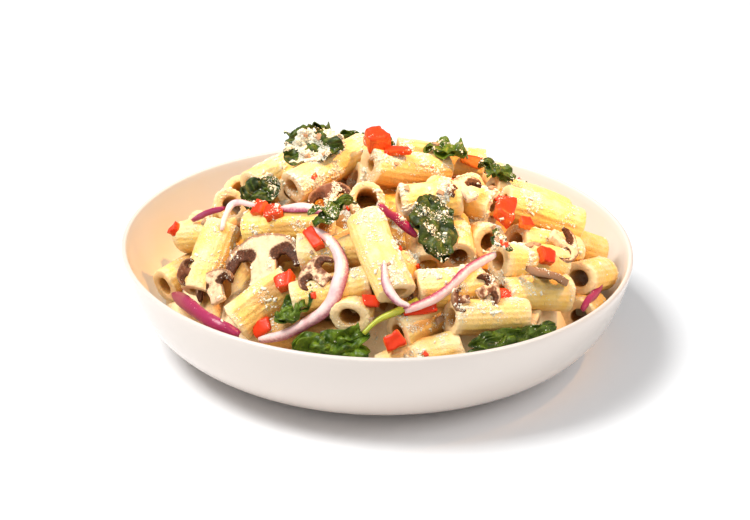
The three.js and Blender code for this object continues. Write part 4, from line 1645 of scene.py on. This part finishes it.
# Where it falls from, and how far from straight its aim is, across, along and up, in metres.
FALL_FROM = Vector((0, -0.05, cad_high.z + 0.05))
AIM_ACROSS = (-0.03, 0.03)
AIM_ALONG = (-0.03, 0.08)
AIM_UP = 0.04
FALL_TOP_CLEAR = 2 * MM

# The number of different shapes of each kind, how much their sizes differ and the largest against
# the mean, how far they lie off flat, how flat they are, and how far they stand off the food.
CHEESE_SHAPES = 12
CHEESE_VARIES = 0.35
CHEESE_LARGEST = 1.8
CHEESE_TIPS = 0.45
CHEESE_FLAT = 0.55
CHEESE_LIFT = 0.2

# How much cheese stays on the other toppings: the nodes' kind, the ending of the pieces, the share.
CHEESE_ON = [("mushroom", "_slice", 0.45), ("onion", "_strip", 0.12), ("tomato", "_dice", 0.12)]

# Small torn bits of vegetables: kind, number, mean width in millimetres, seed and finish's values.
BITS = [
    ("tomato", 26, 2.6, 31, {"skin": 0.3, "shade": 0.35}),
    ("mushroom", 34, 3.0, 32, {"gills": 0.5, "skin": 0.0, "dark": 0.9}),
]
BIT_SIZES = (0.5, 1.3)
BIT_SHAPE = (1, 0.7, 0.45)
BIT_LIFT = 0.15


def cheese_place(draw):
    """A random place for a crumb in plan, in metres."""
    pick = draw.random()
    for x, y, radius, part in CHEESE_PATCHES:
        pick -= part
        if pick < 0:
            return Vector((draw.gauss(x, radius / 2), draw.gauss(y, radius / 2), 0)) * MM
    r, angle = HEAP_R * math.sqrt(draw.random()), draw.uniform(0, math.tau)
    return Vector((r * math.cos(angle) + HEAP_X, r * math.sin(angle), 0)) * MM


class Ground:
    """The food that cheese falls on, and how much of it stays on each face."""

    def __init__(self, pieces):
        gathered = bmesh.new()
        self.keeps = []
        for name, keeps in pieces:
            mesh = bpy.data.objects[name].data
            gathered.from_mesh(mesh)
            self.keeps += [keeps] * len(mesh.polygons)
        self.surface = BVHTree.FromBMesh(gathered)
        gathered.free()

    def catch(self, draw):
        """Where the next falling crumb stays, and the surface's direction there."""
        while True:
            place = cheese_place(draw)
            start = place + FALL_FROM
            stray = Vector((draw.uniform(*AIM_ACROSS), draw.uniform(*AIM_ALONG), AIM_UP))
            aim = place + stray - start
            hit, normal, face, _ = self.surface.ray_cast(start, aim.normalized())
            if not hit or hit.z > cad_high.z - FALL_TOP_CLEAR:
                continue
            keeps = self.keeps[face]
            coarse, fine = noise.noise(hit / CLUMP), noise.noise(hit * 3 / CLUMP)
            clump = CLUMP_COARSE * coarse + CLUMP_FINE * fine
            if draw.random() < keeps * (clump + keeps * LOOSE):
                return hit, normal


def food_ground():
    """The food as ground for what is scattered over it."""
    on_pasta = settings().cheese.on_pasta
    pieces = [(name, on_pasta) for name in ("rigatoni", "rigatoni_under", "sauce")]
    pieces += [(node + "_leaf", row[-1]) for node, row in zip(nodes_of("spinach"), SPINACH)]
    for kind, ending, keeps in CHEESE_ON:
        pieces += [(node + ending, keeps) for node in nodes_of(kind)]
    return Ground(pieces)


def resting(place, normal, draw):
    """A place on a surface for something that lies on it, turned any way."""
    turn = normal.to_track_quat("Z", "Y").to_matrix().to_4x4()
    spin = Matrix.Rotation(draw.uniform(0, math.tau), 4, "Z")
    return Matrix.Translation(place) @ turn @ spin


def add_bits(kind, count, size, seed, values, finish, ground):
    """Scatters small torn bits of a vegetable over the food as a single piece."""
    draw = random.Random(seed)
    batch = Batch(*values)
    for _ in range(count):
        hit, normal = ground.catch(draw)
        width = size * draw.uniform(*BIT_SIZES)
        shape = dice_shape([width * part for part in BIT_SHAPE], draw)[0]
        place = hit + normal * width * BIT_LIFT * MM
        batch.add(shape, resting(place, normal, draw), **values)
    return batch.piece(kind + "_bits", finish, kind)


def add_cheese(name, shape, count, size, stretch, seed, finish, ground):
    """Scatters one kind of cheese over the food as a single piece."""
    draw = random.Random(seed)
    stamps = [Stamp(shape(seed + i)) for i in range(CHEESE_SHAPES)]
    batch = Batch()
    for _ in range(count):
        hit, normal = ground.catch(draw)
        width = size * min(draw.lognormvariate(0, CHEESE_VARIES), CHEESE_LARGEST)
        matrix = resting(hit + normal * width * CHEESE_LIFT, normal, draw)
        matrix @= Matrix.Rotation(draw.uniform(-CHEESE_TIPS, CHEESE_TIPS), 4, "X")
        matrix @= Matrix.Diagonal((width * stretch, width, width * CHEESE_FLAT, 1))
        draw.choice(stamps).press(batch, matrix)
    return batch.piece(name, finish, "pasta")


# The stage


# The area lamps: name, place and tint. All places and sizes here are in metres.
LAMPS = [
    ("key", (-1.1, -0.3, 2.0), (1.0, 0.985, 0.96)),
    ("fill", (-0.1, -1.6, 0.9), (1.0, 0.97, 0.94)),
    ("side", (1.3, -0.6, 1.3), (1.0, 0.98, 0.97)),
]
LAMP_SIZE = 1.0
LAMP_TARGET = Vector((0, 0, 0.03))

# The warm lamp, a narrow spot that lights the food alone.
WARM_PLACE = (1.0, -0.1, 1.9)
WARM_TINT = (1.0, 0.45, 0.1)
WARM_TARGET = Vector((0.006, 0, 0.05))
WARM_CONE = {"spot_size": math.radians(5.8), "spot_blend": 0.6, "shadow_soft_size": 0.03}

# What the camera looks at, and what its distance is measured from.
VIEW_TARGET = Vector((-1, 0, 37)) * MM
VIEW_MIDDLE = Vector((0, 0, 60)) * MM

# How bright the surroundings are in the picture itself, and half the width of the floor.
SKY_SEEN = 1.1
FLOOR_HALF = 4


def aimed(place, target):
    """A turn and place that looks from one point to another."""
    turn = (target - place).to_track_quat("-Z", "Y").to_matrix().to_4x4()
    return Matrix.Translation(place) @ turn


def add_lamp(name, kind, place, power, tint, target=LAMP_TARGET, **shape):
    """Adds a lamp aimed at the food."""
    lamp = bpy.data.lights.new(name, kind)
    lamp.energy = power
    lamp.color = tint
    for key, value in shape.items():
        setattr(lamp, key, value)
    holder = bpy.data.objects.new(name, lamp)
    holder.matrix_world = aimed(Vector(place), target)
    bpy.context.scene.collection.objects.link(holder)


def add_camera(stage):
    """Adds the camera at the photograph's angle."""
    back = Vector((0, -math.cos(stage.elevation), math.sin(stage.elevation)))
    eye = VIEW_MIDDLE + stage.distance * back
    camera = bpy.data.cameras.new("camera")
    camera.lens = stage.lens
    camera.sensor_width = 36
    camera.clip_start = 0.01
    holder = bpy.data.objects.new("camera", camera)
    holder.matrix_world = aimed(eye, VIEW_TARGET) @ Matrix.Rotation(stage.roll, 4, "Z")
    bpy.context.scene.collection.objects.link(holder)
    bpy.context.scene.camera = holder


def set_sky(strength):
    """Sets even white surroundings that are white in the picture too."""
    world = bpy.data.worlds.new("sky")
    world.use_nodes = True
    bpy.context.scene.world = world
    nodes, links = world.node_tree.nodes, world.node_tree.links
    seen = nodes.new("ShaderNodeBackground")
    seen.inputs["Strength"].default_value = SKY_SEEN
    seen.inputs["Color"].default_value = (1, 1, 1, 1)
    shed = nodes["Background"]
    shed.inputs["Color"].default_value = (1, 1, 1, 1)
    shed.inputs["Strength"].default_value = strength
    path, choice = nodes.new("ShaderNodeLightPath"), nodes.new("ShaderNodeMixShader")
    links.new(path.outputs["Is Camera Ray"], choice.inputs[0])
    links.new(shed.outputs[0], choice.inputs[1])
    links.new(seen.outputs[0], choice.inputs[2])
    links.new(choice.outputs[0], nodes["World Output"].inputs["Surface"])


# Operators

# Where each group's random draws start.
TOP_SEED = 5
UNDERNEATH_SEED = 6
MUSHROOM_SEED = 11
ONION_SEED = 12
SPINACH_SEED = 13
TOMATO_SEED = 14
CHEESE_SEED = 20

# The tubes' sides and steps along them: the top layer, and the one under it.
TOP_FINENESS = (80, 10)
UNDER_FINENESS = (40, 4)

# The most that a slice of mushroom is lifted onto the pasta, in millimetres.
SLICE_LIFT = 0.8


class BOWL_OT_stage(bpy.types.Operator):
    """Add the camera, the lamps and the floor"""

    bl_idname = "bowl.stage"
    bl_label = "Stage"

    def execute(self, context):
        stage = settings().stage
        add_camera(stage)
        set_sky(stage.sky)
        for name, place, tint in LAMPS:
            power = getattr(stage, name + "_power")
            add_lamp(name, "AREA", place, power, tint, size=LAMP_SIZE)
        warm = stage.warm_power
        add_lamp("warm", "SPOT", WARM_PLACE, warm, WARM_TINT, WARM_TARGET, **WARM_CONE)
        bm = bmesh.new()
        bmesh.ops.create_grid(bm, x_segments=8, y_segments=8, size=FLOOR_HALF)
        mesh = bpy.data.meshes.new("floor")
        bm.to_mesh(mesh)
        bm.free()
        mesh.materials.append(floor_finish(stage))
        floor = bpy.data.objects.new("floor", mesh)
        bpy.context.scene.collection.objects.link(floor)
        context.scene.view_settings.view_transform = "Standard"
        return {"FINISHED"}


class BOWL_OT_bowl(bpy.types.Operator):
    """Add the glazed bowl"""

    bl_idname = "bowl.bowl"
    bl_label = "Bowl"

    def execute(self, context):
        bowl = settings().bowl
        shape, inside = bowl_shape(bowl)
        add_shape("glazed_bowl", shape, glaze_finish(bowl), "bowl", ["bowl"], inside=inside)
        return {"FINISHED"}


class BOWL_OT_pasta(bpy.types.Operator):
    """Add the rigatoni and the sauce under them"""

    bl_idname = "bowl.pasta"
    bl_label = "Rigatoni"

    def execute(self, context):
        pasta, bowl = settings().pasta, settings().bowl
        wall = inner_profile(bowl, TUBE_R + WALL_CLEARANCE)
        rim_height = bowl.rim_height / MM
        top = top_layer(wall, rim_height)
        under = under_layer(top, wall, rim_height)
        finish = pasta_finish(pasta)
        add_tubes("rigatoni", top, pasta, finish, TOP_SEED, TOP_FINENESS, ["pasta_heap"])
        add_tubes("rigatoni_under", under, pasta, finish, UNDERNEATH_SEED, UNDER_FINENESS)
        core, edge = core_shape(bowl)
        add_shape("sauce", core, core_finish(pasta), "pasta", edge=edge)
        return {"FINISHED"}


class BOWL_OT_mushrooms(bpy.types.Operator):
    """Add the slices of mushroom"""

    bl_idname = "bowl.mushrooms"
    bl_label = "Mushrooms"

    def execute(self, context):
        finish, surface = mushroom_finish(settings().toppings), surface_of("rigatoni")
        draw = random.Random(MUSHROOM_SEED)
        for node, (x, y, z, spin, lean, width, dark) in zip(nodes_of("mushroom"), MUSHROOM):
            shape, gills, skin = slice_shape(width, draw)
            matrix = slope_frame(x, y, z, spin, lean)
            lift = Matrix.Translation((0, 0, rise(surface, shape, matrix, SLICE_LIFT * MM)))
            held = {"gills": gills, "skin": skin, "dark": dark}
            add_shape(node + "_slice", shape, finish, "mushroom", [node], lift @ matrix, **held)
        return {"FINISHED"}


class BOWL_OT_onions(bpy.types.Operator):
    """Add the strips of red onion"""

    bl_idname = "bowl.onions"
    bl_label = "Onions"

    def execute(self, context):
        finish, surface = onion_finish(settings().toppings), surface_of("rigatoni")
        draw = random.Random(ONION_SEED)
        for node, row in zip(nodes_of("onion"), ONION):
            shape, across = onion_shape(row, surface, draw)
            add_shape(node + "_strip", shape, finish, "onion", [node], across=across)
        return {"FINISHED"}


class BOWL_OT_spinach(bpy.types.Operator):
    """Add the wilted spinach"""

    bl_idname = "bowl.spinach"
    bl_label = "Spinach"

    def execute(self, context):
        toppings, surface = settings().toppings, surface_of("rigatoni")
        finish = leaf_finish(toppings)
        draw = random.Random(SPINACH_SEED)
        for node, (*row, fresh, _) in zip(nodes_of("spinach"), SPINACH):
            batch = Batch("vein", "fresh")
            for part in range(2):
                shape, veins = leaf_shape(row, surface, draw, part)
                batch.add(shape, Matrix.Identity(4), vein=veins, fresh=fresh)
            batch.piece(node + "_leaf", finish, "spinach", [node])
        stem = stem_shape(STEM, STEM_SIZE)
        add_piece("leaf_stem", stem, stem_finish(toppings), ["spinach_stem_1"])
        return {"FINISHED"}


class BOWL_OT_tomatoes(bpy.types.Operator):
    """Add the diced tomato"""

    bl_idname = "bowl.tomatoes"
    bl_label = "Tomatoes"

    def execute(self, context):
        finish = tomato_finish(settings().toppings)
        draw = random.Random(TOMATO_SEED)
        for node, (x, y, z, spin, lean, *size, shade) in zip(nodes_of("tomato"), TOMATO):
            shape, skin = dice_shape(size, draw)
            matrix = lowered(shape, slope_frame(x, y, z, spin, lean))
            held = {"skin": skin, "shade": shade}
            add_shape(node + "_dice", shape, finish, "tomato", [node], matrix, **held)
        return {"FINISHED"}


class BOWL_OT_shade_between_food(bpy.types.Operator):
    """Keep how much nearby food shelters each point of the pasta, for the painted shade where food lies
    close together
    """

    bl_idname = "bowl.sauce"
    # The label's pooled sauce is painted shade where food lies close together.
    bl_label = "Pooled sauce"

    def execute(self, context):
        meshes = [piece.name for piece in bpy.data.objects if piece.type == "MESH"]
        surface = surface_of(*[name for name in meshes if name not in ("floor", "glazed_bowl")])
        for name in ("rigatoni", "rigatoni_under"):
            keep_shelter(name, surface)
        return {"FINISHED"}


class BOWL_OT_bits(bpy.types.Operator):
    """Add small torn bits of tomato and mushroom"""

    bl_idname = "bowl.bits"
    bl_label = "Torn bits"

    def execute(self, context):
        ground = food_ground()
        for kind, *how in BITS:
            add_bits(kind, *how, bpy.data.materials[kind], ground)
        return {"FINISHED"}


class BOWL_OT_cheese(bpy.types.Operator):
    """Add the grated cheese over everything"""

    bl_idname = "bowl.cheese"
    bl_label = "Cheese"

    def execute(self, context):
        cheese = settings().cheese
        finish, ground = cheese_finish(cheese), food_ground()
        kinds = [
            ("cheese_dust", grain_shape, cheese.dust, cheese.dust_size, 1.2),
            ("cheese_crumbs", crumb_shape, cheese.crumbs, cheese.crumb_size, 1.3),
            ("cheese_shreds", crumb_shape, cheese.shreds, cheese.shred_size * 0.5, 2.0),
        ]
        for seed, kind in enumerate(kinds, CHEESE_SEED):
            add_cheese(*kind, seed, finish, ground)
        return {"FINISHED"}


class BOWL_PT_panel(bpy.types.Panel):
    """The bowl's pieces and settings"""

    bl_label = "Bowl of rigatoni"
    bl_idname = "BOWL_PT_panel"
    bl_space_type = "VIEW_3D"
    bl_region_type = "UI"
    bl_category = "Bowl"

    def draw(self, context):
        for operator in OPERATORS:
            self.layout.operator(operator.bl_idname)
        held = context.scene.rigatoni_bowl
        for group in (held.bowl, held.pasta, held.toppings, held.cheese, held.stage):
            box = self.layout.box()
            for key in group.bl_rna.properties.keys():
                if key not in ("rna_type", "name"):
                    box.prop(group, key)


OPERATORS = [
    BOWL_OT_stage,
    BOWL_OT_bowl,
    BOWL_OT_pasta,
    BOWL_OT_mushrooms,
    BOWL_OT_onions,
    BOWL_OT_spinach,
    BOWL_OT_tomatoes,
    BOWL_OT_shade_between_food,
    BOWL_OT_bits,
    BOWL_OT_cheese,
]
GROUPS = [BowlSettings, PastaSettings, ToppingSettings, CheeseSettings, StageSettings, RigatoniBowl]


def register():
    for made in GROUPS + OPERATORS + [BOWL_PT_panel]:
        bpy.utils.register_class(made)
    bpy.types.Scene.rigatoni_bowl = PointerProperty(type=RigatoniBowl)


def unregister():
    del bpy.types.Scene.rigatoni_bowl
    for made in reversed(GROUPS + OPERATORS + [BOWL_PT_panel]):
        bpy.utils.unregister_class(made)


def main():
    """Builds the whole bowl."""
    register()
    bpy.ops.bowl.stage()
    bpy.ops.bowl.bowl()
    bpy.ops.bowl.pasta()
    bpy.ops.bowl.mushrooms()
    bpy.ops.bowl.onions()
    bpy.ops.bowl.spinach()
    bpy.ops.bowl.tomatoes()
    bpy.ops.bowl.sauce()
    bpy.ops.bowl.bits()
    bpy.ops.bowl.cheese()


if __name__ == "__main__":
    main()
